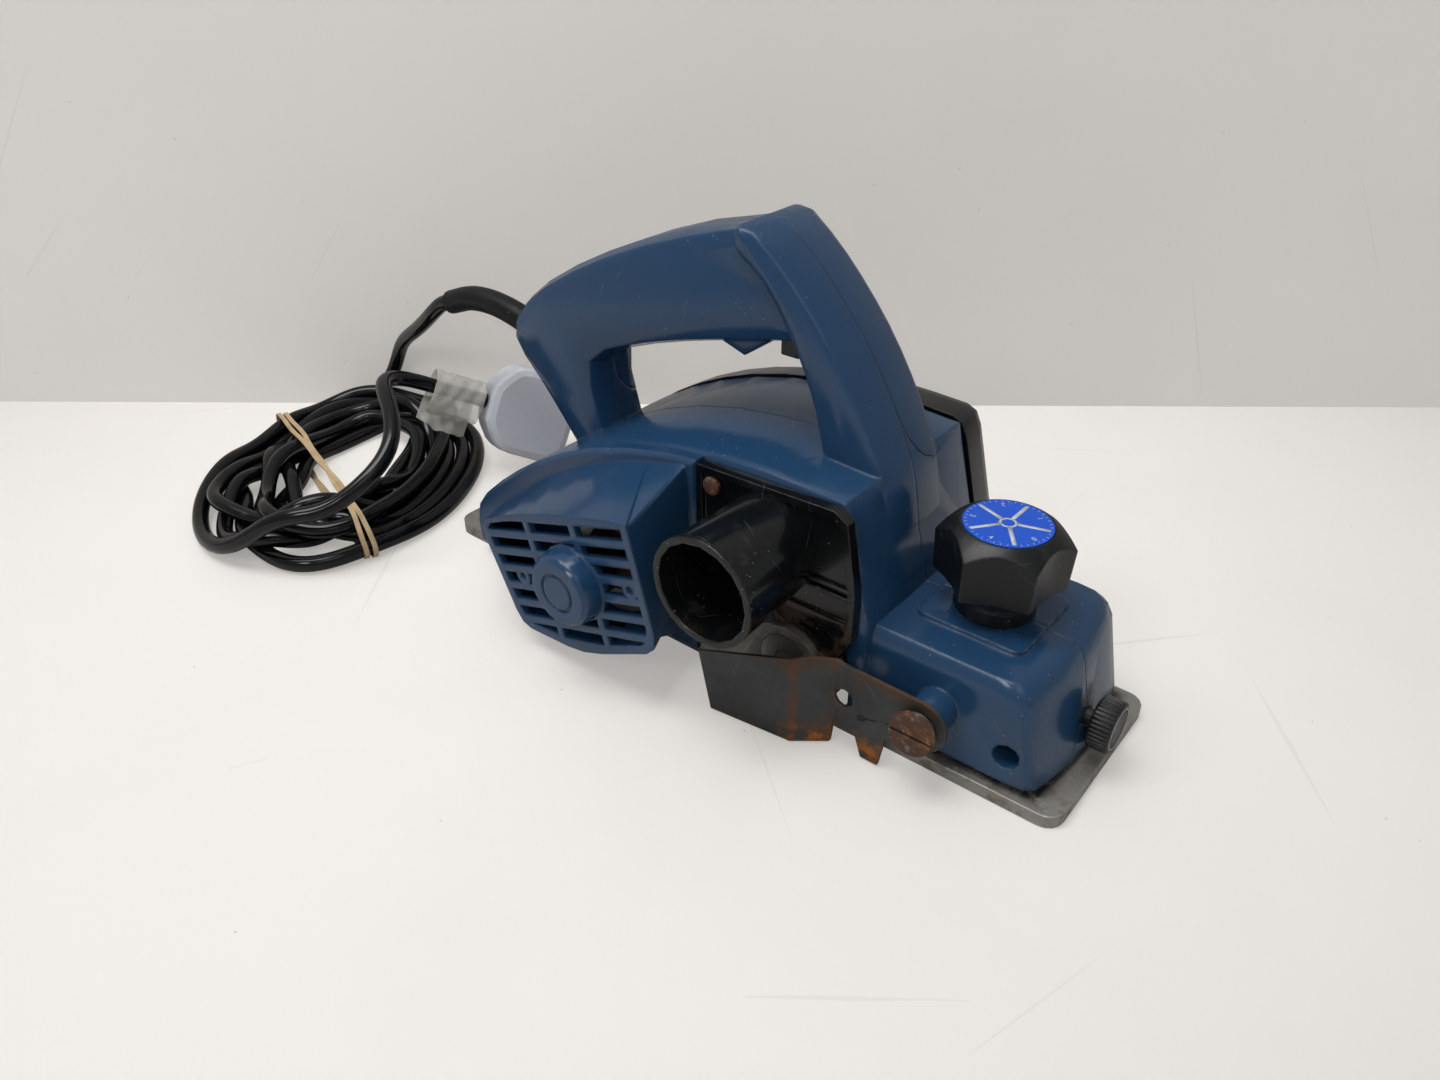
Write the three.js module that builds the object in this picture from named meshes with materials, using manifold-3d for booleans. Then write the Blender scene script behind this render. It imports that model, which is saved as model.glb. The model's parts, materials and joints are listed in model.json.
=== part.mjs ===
// Hand-held electric planer, in millimetres, +Z up, +X to the front shoe, -Y to the motor grille.
// The origin lies on the sole's lower face, halfway along the sole and across it.
import * as THREE from 'three';
import { mergeVertices } from 'three/addons/utils/BufferGeometryUtils.js';
import Module from 'manifold-3d';

const wasm = await Module();
wasm.setup();

// General fits
const gap = 0.3;
const overrun = 3;
const wall = 3;
const small_edge = 1;
const fine_sides = 32;
const round_sides = 16;
const small_sides = 10;

// Sole and front shoe
const sole_length = 310;
const sole_width = 82;
const sole_thickness = 6;
const sole_corner = 7;
const sole_front_x = 35;
const lip_gap = 1.4;
const shoe_rear_x = 66;
const shoe_thickness = 5.4;
const shoe_travel = 2;
const sole_rib_width = 3;
const sole_rib_height = 9;
const sole_rib_y = 15;
const cheek_width = 5;
const cheek_radius = 15;
const cheek_rear_x = 4;
const cheek_step = 1;

// Housing
const body_rear_x = -131;
const body_length = 207;
const body_top = 96.5;
const body_half_width = 41;
const flange_reach = 6;
const flange_front_x = 1;
const body_edge = 3;
const bulge_reach = 41;
const motor_x = -30;
const motor_z = 45;
const boss_radius = 15;
const boss_reach = 9;
const boss_chamfer = 1.5;
const groove_radius = 8.4;
const groove_width = 1.4;
const groove_depth = 0.9;
const flange_edge = 1.5;

// Grille
const grille_rows = 8;
const grille_slope = 18;
const grille_rib = 3.2;
const grille_column = 27;
const grille_margin = 4;
const grille_boss_radius = 4;
const grille_boss_reach = 31;
const grille_screw_radius = 1.8;
const slot_share = 0.6;

// Front block
const block_front_x = 148;
const block_half_width = 39;
const block_top = 48.5;
const block_base = 9;
const block_draft = 10;
const block_side_draft = 1;
const block_round = 7;
const pad_half_width = 21;
const pad_front_x = 125;
const pad_height = 1.6;
const pad_corner = 4;

// Handle
const handle_rear_x = -131;
const handle_length = 197;
const handle_top = 175;
const handle_foot_z = 50;
const grip_half_width = 15;
const post_half_width = 19.5;
const handle_edge = 7;
const post_edge = 4;
const tongue_rise = 25;
const tongue_front_z = 92;
const tongue_rear_z = 76;
const tongue_rear_x = -68;
const tongue_front_x = 31;
const over_body_z = 102;

// Cutter drum and its drive
const drum_x = 45;
const cutting_radius = 23.8;
const drum_radius = 22.3;
const drum_half_width = 40.6;
const drum_shaft_radius = 4;
const drum_bearing_radius = 11;
const blade_thickness = 1.2;
const blade_depth = 6;
const gullet_radius = 4;
const drum_pulley_radius = 15.5;
const motor_pulley_radius = 9.5;
const pulley_flange = 1.6;
const pulley_rim = 0.8;
const belt_width = 5;
const belt_thickness = 1.2;
const motor_shaft_radius = 4;
const motor_bearing_radius = 9.5;
const bearing_width = 6;

// Motor
const stator_radius = 24;
const stator_length = 40;
const stator_front_y = -60;
const armature_radius = 13.5;
const commutator_radius = 10;
const commutator_length = 12;
const fan_radius = 26;
const fan_depth = 9;
const fan_y = 16;
const fan_blades = 7;
const fan_wall = 1.5;
const brush_reach = 20;
const brush_height = 7;
const brush_inset = 2;
const armature_step = 1;

// Belt cover
const cover_depth = 17.5;
const cover_rear_x = -112;
const cover_front_x = 76;
const cover_base = 3.4;
const cover_top = 96.5;
const cover_wall = 2.2;
const cover_draft = 1;
const cover_round = 2;
const cover_side_wall = 2.9;
const cover_bend_share = 0.65;

// Chip chute
const chute_plate_thickness = 3;
const chute_rim = 3;
const chute_rim_height = 1.6;
const chute_top = 95;
const chute_length = 71;
const chute_height = 68;
const chute_screw_inset = 7.2;
const chute_screw_drop = 9.4;
const chute_clearance = 1.2;
const shelf_drop = 47;
const tube_radius = 21;
const tube_root_radius = 19.4;
const tube_wall = 2;
const tube_root_x = 35.5;
const tube_root_z = 72;
const tube_length = 43.5;
const tube_rise = -1;

// Depth control
const knob_x = 104;
const knob_radius = 24;
const knob_bottom_z = 62;
const knob_top_z = 85;
const knob_turn = 21;
const collar_radius = 17;
const dial_radius = 16;
const dial_thickness = 1;
const stud_radius = 4;
const shoe_boss_radius = 9;
const shoe_boss_top = 34;
const guide_post_radius = 4.5;
const guide_post_y = 27;
const guide_post_x = 92;
const guide_post_top = 30;
const guide_room = 1;
const spring_radius = 11.2;
const spring_wire = 0.8;
const spring_turns = 7;
const spring_steps = 8;
const knob_round = 1.5;
const stud_top = 76;
const seal_overlap = 1.2;
const seal_width = 2;
const seal_gap = 1.8;

// Rod clamp on the front
const rod_x = 132;
const rod_z = 20;
const rod_radius = 5;
const rod_tube_wall = 2.5;
const rod_tube_seat = 1;
const clamp_radius = 10;
const clamp_length = 8.5;
const clamp_screw_radius = 3;
const knurls = 24;
const knurl_depth = 0.7;
const clamp_rim = 2.4;

// Side guard
const guard_x = 105;
const guard_z = 28;
const guard_thickness = 1.5;
const guard_length = 98;
const guard_height = 40;
const guard_end_radius = 10.5;
const guard_screw_head = 3.5;
const guard_spring_wire = 0.5;
const guard_spring_turns = 1.1;
const guard_hole_reach = 30.5;
const guard_offset = 14.7;
const guard_boss_radius = 8;
const guard_arm_y = 50;
const guard_screw_radius = 8.5;
const guard_shoulder_radius = 5.5;
const guard_clearance = 0.8;

// Switch
const trigger_pivot_x = -14;
const trigger_pivot_z = 137;
const trigger_tip_x = 17.5;
const trigger_pad_length = 8;
const trigger_pad_drop = 9.5;
const trigger_half_width = 7;
const trigger_height = 6;
const switch_length = 20;
const switch_height = 14;
const pin_radius = 1.5;
const trigger_play = 0.8;

// Screws
const screw_radius = 2;
const screw_head_radius = 3.8;
const screw_head = 2.4;
const screw_boss_radius = 6;
const screw_boss_overlap = 1.5;
const screw_post_wall = 2;
const screw_depth = 14;
const screw_slot = 1.2;

// Cord
const cord_radius = 3.8;
const sleeve_radius = 5.8;
const coil_x = -235.4;
const coil_y = -46.6;
const coil_turn = 33;
const coil_half_width = 55;
const coil_half_length = 85;
const coil_pitch = 8.7;
const coil_layer = 8.4;
const coil_layers = 4;
const coil_start = 125;
const coil_end = 280;
const coil_loops = 7;
const loop_steps = 24;
const climb_degrees = 90;
const free_sides = 8;
const lead_steps = 32;
const tail_steps = 36;
const band_across = -7.7;
const band_deep = -14.2;
const band_reach = 147;
const band_heading = -17.6;
const band_width = 4;
const band_thickness = 1;
const plug_size = 46;
const plug_depth = 21;
const plug_base = 7;
const plug_edge = 4;
const plug_x = -178.3;
const plug_y = 29;
const plug_z = 29.6;
const earth_pin = [4, 8, 22.7];
const live_pin = [4, 6.35, 17.7];
const earth_pin_offset = 11;
const live_pin_offset = 11;
const tag_length = 26;
const tag_drop = 13;
const tag_thickness = 0.8;

// Materials
const looks = {
  blue: { color: 0x2c5080, roughness: 0.42, metalness: 0 },
  black: { color: 0x17191a, roughness: 0.4, metalness: 0 },
  rubber: { color: 0x121314, roughness: 0.55, metalness: 0 },
  cast: { color: 0x8d8b85, roughness: 0.5, metalness: 0.85 },
  steel: { color: 0x9a9a98, roughness: 0.35, metalness: 0.95 },
  rust: { color: 0x5a3a26, roughness: 0.85, metalness: 0.3 },
  dark_steel: { color: 0x3b3f40, roughness: 0.55, metalness: 0.7 },
  copper: { color: 0xa5622f, roughness: 0.4, metalness: 0.9 },
  dial: { color: 0x1550c8, roughness: 0.35, metalness: 0 },
  plug: { color: 0xd5d4da, roughness: 0.45, metalness: 0 },
  brass: { color: 0xb59a4e, roughness: 0.35, metalness: 0.9 },
  band: { color: 0xc9a878, roughness: 0.7, metalness: 0 },
  paper: { color: 0xc8c5ba, roughness: 0.8, metalness: 0 },
};
const planer = new THREE.Group();

// Turn a closed geometry into a solid, with its faces pointing out
function solidOf(geometry) {
  const bare = geometry.clone();
  bare.deleteAttribute('normal');
  bare.deleteAttribute('uv');
  const merged = mergeVertices(bare);
  const places = merged.attributes.position.array;
  const corners = [];
  let volume = 0;
  const point = (i) => new THREE.Vector3().fromArray(places, i * 3);
  for (let i = 0; i < merged.index.count; i += 3) {
    const [a, b, c] = [merged.index.getX(i), merged.index.getX(i + 1), merged.index.getX(i + 2)];
    if (a === b || b === c || c === a) continue;
    corners.push([a, b, c]);
    volume += point(a).dot(point(b).cross(point(c)));
  }
  const turned = volume < 0 ? corners.map(([a, b, c]) => [a, c, b]) : corners;
  return new wasm.Manifold(new wasm.Mesh({
    numProp: 3,
    vertProperties: new Float32Array(places),
    triVerts: new Uint32Array(turned.flat()),
  }));
}

function geometryOf(solid) {
  const mesh = solid.getMesh();
  const geometry = new THREE.BufferGeometry();
  geometry.setAttribute('position', new THREE.BufferAttribute(mesh.vertProperties, 3));
  geometry.setIndex(new THREE.BufferAttribute(mesh.triVerts, 1));
  geometry.computeVertexNormals();
  return geometry;
}

function add(name, shape, look) {
  const geometry = shape.isBufferGeometry ? shape : geometryOf(shape);
  const mesh = new THREE.Mesh(geometry, new THREE.MeshStandardMaterial(looks[look]));
  mesh.name = name;
  planer.add(mesh);
  return mesh;
}

// Outline with each corner drawn as a curve: softness 1 rounds up to the middle of both sides
function softOutline(corners, softness, steps = 4) {
  const points = [];
  corners.forEach((corner, i) => {
    const before = corners[(i + corners.length - 1) % corners.length];
    const after = corners[(i + 1) % corners.length];
    const soft = (Array.isArray(softness) ? softness[i] : softness) / 2;
    if (soft === 0) {
      points.push(corner.clone());
      return;
    }
    const start = corner.clone().lerp(before, soft);
    const end = corner.clone().lerp(after, soft);
    const curve = new THREE.QuadraticBezierCurve(start, corner, end);
    const drawn = curve.getPoints(steps);
    const shared = points.length > 0 && points[points.length - 1].distanceTo(drawn[0]) < gap / 10;
    points.push(...(shared ? drawn.slice(1) : drawn));
  });
  if (points[0].distanceTo(points[points.length - 1]) < gap / 10) points.pop();
  return points;
}

const vec = (x, y) => new THREE.Vector2(x, y);
const inShares = (shares, x, z, length, height) =>
  shares.map(([along, up]) => vec(x + along * length, z + up * height));

// Solid drawn as a side view (x, z) and drawn out along Y, with rounded long edges
function sideSolid(outline, low_y, high_y, { edge = 0, inset = 0, holes = [], steps = 2 } = {}) {
  const shape = new THREE.Shape(outline);
  holes.forEach((hole) => shape.holes.push(new THREE.Path(hole)));
  const rounded = edge > 0 || inset !== 0;
  const round = rounded ? Math.max(edge, gap) : 0;
  const geometry = new THREE.ExtrudeGeometry(shape, {
    depth: high_y - low_y - 2 * round,
    bevelEnabled: rounded,
    bevelThickness: round,
    bevelSize: round,
    bevelOffset: -round - inset,
    bevelSegments: edge > 0 ? steps : 1,
    curveSegments: 8,
  });
  geometry.rotateX(Math.PI / 2);
  geometry.translate(0, high_y - round, 0);
  return solidOf(geometry);
}

// Plan with a rounding of its own at each end
function quarterPlan(low_x, high_x, half_width, rear_corner, front_corner) {
  const points = [];
  const steps = 4;
  const quarter = (x, y, radius, start) => {
    const centre = vec(x - Math.sign(Math.cos(start + Math.PI / 4)) * radius, y - Math.sign(y) * radius);
    for (let i = 0; i <= steps; i += 1) {
      const turn = start + (i * Math.PI) / (2 * steps);
      points.push(vec(centre.x + radius * Math.cos(turn), centre.y + radius * Math.sin(turn)));
      if (radius === 0) return;
    }
  };
  quarter(high_x, -half_width, front_corner, -Math.PI / 2);
  quarter(high_x, half_width, front_corner, 0);
  quarter(low_x, half_width, rear_corner, Math.PI / 2);
  quarter(low_x, -half_width, rear_corner, Math.PI);
  return points;
}

// Solid drawn as a plan (x, y) and drawn out along Z
function planSolid(outline, low_z, high_z, holes = []) {
  const shape = new THREE.Shape(outline);
  holes.forEach((hole) => shape.holes.push(new THREE.Path(hole)));
  const geometry = new THREE.ExtrudeGeometry(shape, { depth: high_z - low_z, bevelEnabled: false });
  geometry.translate(0, 0, low_z);
  return solidOf(geometry);
}

// Skin over rings of equal counts, closed at both ends
function loft(rings) {
  const places = [];
  const index = [];
  rings.forEach((ring) => ring.forEach((p) => places.push(p.x, p.y, p.z)));
  const count = rings[0].length;
  for (let r = 0; r + 1 < rings.length; r += 1) {
    for (let i = 0; i < count; i += 1) {
      const j = (i + 1) % count;
      const [a, b, c, d] = [r * count + i, r * count + j, (r + 1) * count + i, (r + 1) * count + j];
      index.push(a, b, d, a, d, c);
    }
  }
  const flat_y = Math.abs(rings[0][0].y - rings[0][Math.floor(count / 3)].y) < gap
    && Math.abs(rings[0][0].y - rings[0][Math.floor(count / 2)].y) < gap;
  const flatten = (p) => (flat_y ? vec(p.x, p.z) : vec(p.x, p.y));
  const cap = (ring, base, flipped) => {
    const faces = THREE.ShapeUtils.triangulateShape(ring.map(flatten), []);
    const area = THREE.ShapeUtils.area(ring.map(flatten));
    faces.forEach(([a, b, c]) => {
      const outward = (area > 0) === flipped;
      index.push(base + a, base + (outward ? b : c), base + (outward ? c : b));
    });
  };
  cap(rings[0], 0, false);
  cap(rings[rings.length - 1], (rings.length - 1) * count, true);
  const geometry = new THREE.BufferGeometry();
  geometry.setAttribute('position', new THREE.Float32BufferAttribute(places, 3));
  geometry.setIndex(index);
  return solidOf(geometry);
}

function box(low, high) {
  const size = high.map((h, i) => h - low[i]);
  const geometry = new THREE.BoxGeometry(...size);
  geometry.translate(...low.map((l, i) => l + size[i] / 2));
  return solidOf(geometry);
}

// Turned solid: profile pairs are radius and distance from the start along the axis
function turned(profile, start, axis, sides = round_sides) {
  const points = profile.map(([radius, along]) => vec(radius, along));
  const geometry = new THREE.LatheGeometry(points, sides);
  const spin = new THREE.Quaternion().setFromUnitVectors(new THREE.Vector3(0, 1, 0), axis);
  geometry.applyQuaternion(spin);
  geometry.translate(...start);
  return solidOf(geometry);
}

const along_x = new THREE.Vector3(1, 0, 0);
const along_y = new THREE.Vector3(0, 1, 0);
const along_z = new THREE.Vector3(0, 0, 1);

function rodY(radius, x, z, low_y, high_y, sides = round_sides) {
  const length = high_y - low_y;
  return turned([[0, 0], [radius, 0], [radius, length], [0, length]], [x, low_y, z], along_y, sides);
}

function rodZ(radius, x, y, low_z, high_z, sides = round_sides) {
  const length = high_z - low_z;
  return turned([[0, 0], [radius, 0], [radius, length], [0, length]], [x, y, low_z], along_z, sides);
}

function rodX(radius, y, z, low_x, high_x, sides = round_sides) {
  const length = high_x - low_x;
  return turned([[0, 0], [radius, 0], [radius, length], [0, length]], [low_x, y, z], along_x, sides);
}

function tubeY(outer, inner, x, z, low_y, high_y, sides = round_sides) {
  const length = high_y - low_y;
  const profile = [[inner, 0], [outer, 0], [outer, length], [inner, length], [inner, 0]];
  return turned(profile, [x, low_y, z], along_y, sides);
}

const joined = (solids) => solids.reduce((whole, next) => whole.add(next));

// Places that several pieces share
const sole_half = sole_width / 2;
const sole_rear_x = -sole_length / 2;
const shoe_front_x = sole_length / 2;
const body_base = sole_thickness + gap;
const body_front_x = body_rear_x + body_length;
const body_height = body_top - body_base;
const flange_y = -body_half_width - flange_reach;
const grille_y = -body_half_width - bulge_reach;
const boss_y = grille_y - boss_reach;
const drum_z = cutting_radius + gap / 2;
const cheek_y = sole_half + gap + cheek_step;
const cheek_outer_y = cheek_y + cheek_width;
const pulley_y = cheek_outer_y + pulley_rim;
const pulley_width = belt_width + 2 * pulley_rim + 2 * gap;
const cover_y = body_half_width + gap;
const cover_outer_y = cover_y + cover_depth;
const shaft_end_y = pulley_y + pulley_width + pulley_rim;

// Outlines of the housing, in shares of its length and height
const body_shares = [
  [0, 0], [-0.005, 0.22], [0.09, 0.43], [0.208, 0.63], [0.367, 0.83], [0.56, 0.972], [0.778, 1.015],
  [0.937, 0.995], [1, 0.475], [1, 0],
];
const body_softness_shares = [0, 0.8, 1, 1, 1, 1, 0.8, 0, 0, 0];
const body_outline = softOutline(
  inShares(body_shares, body_rear_x, body_base, body_length, body_height), body_softness_shares, 2,
);
const flange_front_share = (flange_front_x - body_rear_x) / body_length;
const flange_shares = [
  [0, 0], [-0.005, 0.22], [0.09, 0.43], [0.208, 0.63], [0.367, 0.83], [0.56, 0.95],
  [flange_front_share, 0.966], [flange_front_share, 0],
];
const flange_softness_shares = [0, 0.8, 1, 1, 1, 0.9, 0, 0];
const flange_outline = softOutline(
  inShares(flange_shares, body_rear_x, body_base, body_length, body_height), flange_softness_shares, 2,
);

// Motor bulge: its base on the flange and its grille end, as matching corners
const bulge_base_shares = [
  [0.07, 0.03], [0.05, 0.2], [0.19, 0.49], [0.345, 0.73], [0.49, 0.86], [0.62, 0.94], [0.632, 0.4],
  [0.632, 0.03],
];
const bulge_end_shares = [
  [0.327, 0.035], [0.228, 0.51], [0.335, 0.64], [0.5, 0.775], [0.63, 0.845], [0.63, 0.83],
  [0.695, 0.285], [0.5, 0.06],
];
const bulge_softness_shares = [0.3, 0.3, 0.9, 1, 0.6, 0.12, 0.3, 0.5];
const bulgeRing = (shares, y) => softOutline(
  inShares(shares, body_rear_x, body_base, body_length, body_height), bulge_softness_shares, 2,
).map((p) => new THREE.Vector3(p.x, y, p.y));

// Move each corner of a ring towards its middle by a wall
function shrunk(ring, amount, y) {
  const middle = ring.reduce((sum, p) => sum.add(p), new THREE.Vector3()).divideScalar(ring.length);
  return ring.map((p) => {
    const inward = middle.clone().sub(p).setY(0);
    const moved = p.clone().addScaledVector(inward.clone().normalize(), amount);
    return moved.setY(y);
  });
}

// Handle outlines: the grip with its opening, and the wider front post
const grip_shares = [
  [0.188, 0], [0.071, 0.224], [-0.03, 0.376], [0.03, 0.536], [0.183, 0.696], [0.386, 0.848],
  [0.614, 0.968], [0.675, 0.985], [0.76, 0.82], [0.8, 0.672], [0.706, 0.64], [0.579, 0.59],
  [0.406, 0.512], [0.223, 0.392], [0.274, 0.096], [0.299, 0],
];
const grip_softness_shares = [0, 0.8, 0.9, 0.9, 1, 1, 1, 0, 0, 0, 0.4, 0.6, 0.9, 0.7, 0.3, 0];
const post_shares = [
  [0.64, 0.904], [0.64, 1.032], [0.736, 0.924], [0.802, 0.824], [0.873, 0.696], [0.929, 0.564],
  [0.972, 0.44], [1.003, 0.328], [1.02, 0.176], [0.878, 0.176], [0.86, 0.336], [0.835, 0.504],
  [0.777, 0.696], [0.706, 0.844],
];
const post_softness_shares = [0.6, 1, 1, 1, 1, 1, 1, 0.9, 0, 0, 0.5, 1, 1, 0.8];
const beak_shares = [[0.55, 0.6], [0.631, 0.56], [0.71, 0.65], [0.66, 0.72]];
const handle_height = handle_top - handle_foot_z;
const handleOutline = (shares, softness, steps) => softOutline(
  inShares(shares, handle_rear_x, handle_foot_z, handle_length, handle_height), softness, steps,
);
const grip_outline = handleOutline(grip_shares, grip_softness_shares, 2);
const post_outline = handleOutline(post_shares, post_softness_shares, 2);
const beak_outline = handleOutline(beak_shares, 0, 1);

// Front block rings: a plan with a bowed front, drawn in towards the top
const block_plan_shares = [[0, -1], [0.93, -0.99], [1, -0.4], [1, 0.4], [0.93, 0.99], [0, 1]];
const block_plan_softness_shares = [0, 0.3, 1, 1, 0.3, 0];
function blockRing(front_x, half_width, z, inset = 0) {
  const rear_x = body_front_x - wall + inset;
  const length = front_x - inset - rear_x;
  const corners = block_plan_shares.map(([along, across]) =>
    vec(rear_x + along * length, across * (half_width - inset)));
  return softOutline(corners, block_plan_softness_shares, 2)
    .map((p) => new THREE.Vector3(p.x, p.y, z));
}

const block_top_front_x = block_front_x - block_draft;
const block_shoulder_z = block_top - block_round;
const block_outer = loft([
  blockRing(block_front_x, block_half_width, block_base),
  blockRing(block_top_front_x + block_round / 3, block_half_width - block_side_draft, block_shoulder_z),
  blockRing(block_top_front_x, block_half_width - 2 * block_side_draft, block_top - block_round / 3),
  blockRing(block_top_front_x - block_round / 2, block_half_width - block_round / 2, block_top),
]);
const block_inner = loft([
  blockRing(block_front_x, block_half_width, block_base - overrun, wall),
  blockRing(
    block_top_front_x + block_round / 3, block_half_width - block_side_draft, block_shoulder_z, wall,
  ),
  blockRing(block_top_front_x - block_round / 2, block_half_width - block_round / 2, block_top - wall, wall),
]);

const pad_rear_x = 2 * knob_x - pad_front_x;
const pad_top = block_top + pad_height;
const pad_plan = quarterPlan(pad_rear_x, pad_front_x, pad_half_width, pad_corner, pad_corner);
const pad = planSolid(pad_plan, block_top - wall, pad_top);

// Whole outer form, whole hollow, and the shell between them
const body_outer = sideSolid(body_outline, -body_half_width, body_half_width, { edge: body_edge });
const flange_outer = sideSolid(flange_outline, flange_y, -body_half_width / 2, {
  edge: flange_edge, steps: 1,
});
const bulge_outer = loft([
  bulgeRing(bulge_base_shares, -body_half_width),
  bulgeRing(bulge_base_shares, flange_y - gap),
  bulgeRing(bulge_end_shares, grille_y),
]);
const grip_outer = sideSolid(grip_outline, -grip_half_width, grip_half_width, {
  edge: handle_edge, steps: 2,
}).add(sideSolid(beak_outline, handle_edge - grip_half_width, grip_half_width - handle_edge, {
  edge: small_edge,
}));
const post_outer = sideSolid(post_outline, -post_half_width, post_half_width, {
  edge: post_edge, steps: 2,
});
const motor_boss = turned(
  [[0, 0], [boss_radius - boss_chamfer, 0], [boss_radius, boss_chamfer],
    [boss_radius + small_edge, boss_reach + wall], [0, boss_reach + wall]],
  [motor_x, boss_y, motor_z], along_y,
);
const guard_boss = rodY(guard_boss_radius, guard_x, guard_z, -guard_arm_y + gap, -block_half_width + wall);
const outer_form = joined([
  body_outer, flange_outer, bulge_outer, grip_outer, post_outer, block_outer, pad, motor_boss, guard_boss,
]);

const body_inner = sideSolid(body_outline, wall - body_half_width, body_half_width - wall, {
  edge: small_edge, inset: wall, steps: 1,
}).add(box(
  [body_rear_x + wall, wall - body_half_width, body_base - overrun],
  [body_front_x - 2 * wall, body_half_width - wall, body_base + 2 * wall],
));
const flange_inner = sideSolid(flange_outline, flange_y + wall, -body_half_width / 2 + wall, {
  edge: small_edge, inset: wall, steps: 1,
});
const bulge_inner = loft([
  shrunk(bulgeRing(bulge_base_shares, flange_y), 1.6 * wall, flange_y + 2 * wall),
  shrunk(bulgeRing(bulge_base_shares, flange_y), 1.6 * wall, flange_y),
  shrunk(bulgeRing(bulge_end_shares, grille_y), 1.3 * wall, grille_y + wall),
]);
const grip_inner = sideSolid(grip_outline, wall - grip_half_width, grip_half_width - wall, {
  edge: handle_edge - wall, inset: wall, steps: 1,
});
const post_inner = sideSolid(post_outline, wall - post_half_width, post_half_width - wall, {
  edge: post_edge - wall, inset: wall, steps: 1,
});
const bearing_pocket = rodY(
  motor_bearing_radius + gap, motor_x, motor_z, boss_y + wall, grille_y + 2 * wall,
);
const hollow = joined([
  body_inner, flange_inner, bulge_inner, grip_inner, post_inner, block_inner, bearing_pocket,
]);

// Ribs inside the body: two formers that hold the stator, and a wall behind the drum
const slab = (low_x, high_x, low_y, high_y) => box(
  [low_x, low_y, body_base - overrun], [high_x, high_y, body_top + overrun],
);
const stator_end_y = stator_front_y + stator_length;
const former = (y) => flange_inner.add(body_inner).add(bulge_inner)
  .intersect(slab(body_rear_x, flange_front_x + 2 * wall, y - wall, y))
  .subtract(rodY(stator_radius + gap, motor_x, motor_z, y - 2 * wall, y + wall));
const drum_well_radius = cutting_radius + lip_gap;
const divider_x = drum_x - drum_well_radius - 2 * wall;
const divider = body_inner.intersect(slab(divider_x, divider_x + wall, -body_half_width, body_half_width));
const left_bearing_y = body_half_width - wall / 2 - bearing_width;
const left_bearing_boss = rodY(
  motor_bearing_radius + wall, motor_x, motor_z, left_bearing_y - wall / 2, body_half_width - wall / 2,
);

// Bosses, tubes and sockets inside the front block
const rod_tube = rodY(rod_radius + rod_tube_wall, rod_x, rod_z,
  wall - block_half_width - rod_tube_seat, block_half_width - wall + rod_tube_seat, small_sides);
const clamp_tube = rodX(clamp_screw_radius + rod_tube_wall, 0, rod_z, rod_x, block_front_x - 2 * wall,
  small_sides);
const guide_socket = (y) => rodZ(guide_post_radius + gap + wall, guide_post_x, y,
  shoe_thickness + shoe_travel + 3 * wall, block_top - wall / 2, small_sides);
const guide_hole = (y) => rodZ(guide_post_radius + gap, guide_post_x, y, block_base - overrun,
  guide_post_top + shoe_travel + guide_room, small_sides);

// Sole screws stand in bosses beside the walls
const sole_screw_y = body_half_width - wall - screw_boss_radius + screw_boss_overlap;
const sole_screw_share = 0.11;
const sole_screw_x = body_rear_x + sole_screw_share * body_length;
const sole_screw_places = [
  [sole_screw_x, -sole_screw_y], [sole_screw_x, sole_screw_y],
  [cheek_rear_x, -sole_screw_y], [cheek_rear_x, sole_screw_y],
];
const sole_boss = ([x, y]) => rodZ(screw_boss_radius, x, y, body_base, body_base + screw_depth + wall,
  small_sides);
const sole_boss_hole = ([x, y]) => rodZ(screw_radius + gap, x, y, body_base - overrun,
  body_base + screw_depth, small_sides);

// Handle screws come in from the left and end in the right half
const handle_screw_shares = [[0.14, 0.48], [0.853, 0.62]];
const handle_screws = inShares(
  handle_screw_shares, handle_rear_x, handle_foot_z, handle_length, handle_height,
).map((p, i) => [p.x, p.y, i === 0 ? grip_half_width : post_half_width]);
const handle_screw_end_y = -grip_half_width + 2 * wall;
const handle_boss = ([x, z, half]) => rodY(screw_radius + gap + screw_post_wall, x, z, -half + wall / 2,
  half - wall / 2, small_sides);
const handle_screw_hole = ([x, z, half]) => rodY(screw_radius + gap, x, z, handle_screw_end_y - gap,
  half + overrun, small_sides)
  .add(rodY(screw_head_radius + gap, x, z, half - screw_head - wall, half + overrun, small_sides));

const inner_form = joined([
  former(stator_front_y + 3 * wall), former(stator_end_y), divider, left_bearing_boss,
  rod_tube, clamp_tube, guide_socket(-guide_post_y), guide_socket(guide_post_y),
  ...sole_screw_places.map(sole_boss), ...handle_screws.map(handle_boss),
]);

// Grille: rows of slots between ribs, sloping with the end of the bulge
const grille_ring = shrunk(bulgeRing(bulge_end_shares, grille_y), grille_margin, grille_y - overrun);
const grille_lows = Math.min(...grille_ring.map((p) => p.z));
const grille_highs = Math.max(...grille_ring.map((p) => p.z));
const grille_rear_x = Math.min(...grille_ring.map((p) => p.x));
const grille_front_x = Math.max(...grille_ring.map((p) => p.x));
const grille_middle_x = (grille_rear_x + grille_front_x) / 2;
const grille_middle_z = (grille_lows + grille_highs) / 2;
const row_pitch = (grille_highs - grille_lows) / (grille_rows + slot_share);
const turnedGrille = (solid) => solid
  .translate([-grille_middle_x, 0, -grille_middle_z])
  .rotate([0, -grille_slope, 0])
  .translate([grille_middle_x, 0, grille_middle_z]);

const grille_screw_spots = [-1, 1].map((side) => vec(side * grille_boss_reach, 0)
  .rotateAround(vec(0, 0), THREE.MathUtils.degToRad(grille_slope))
  .add(vec(motor_x, motor_z)));

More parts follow.
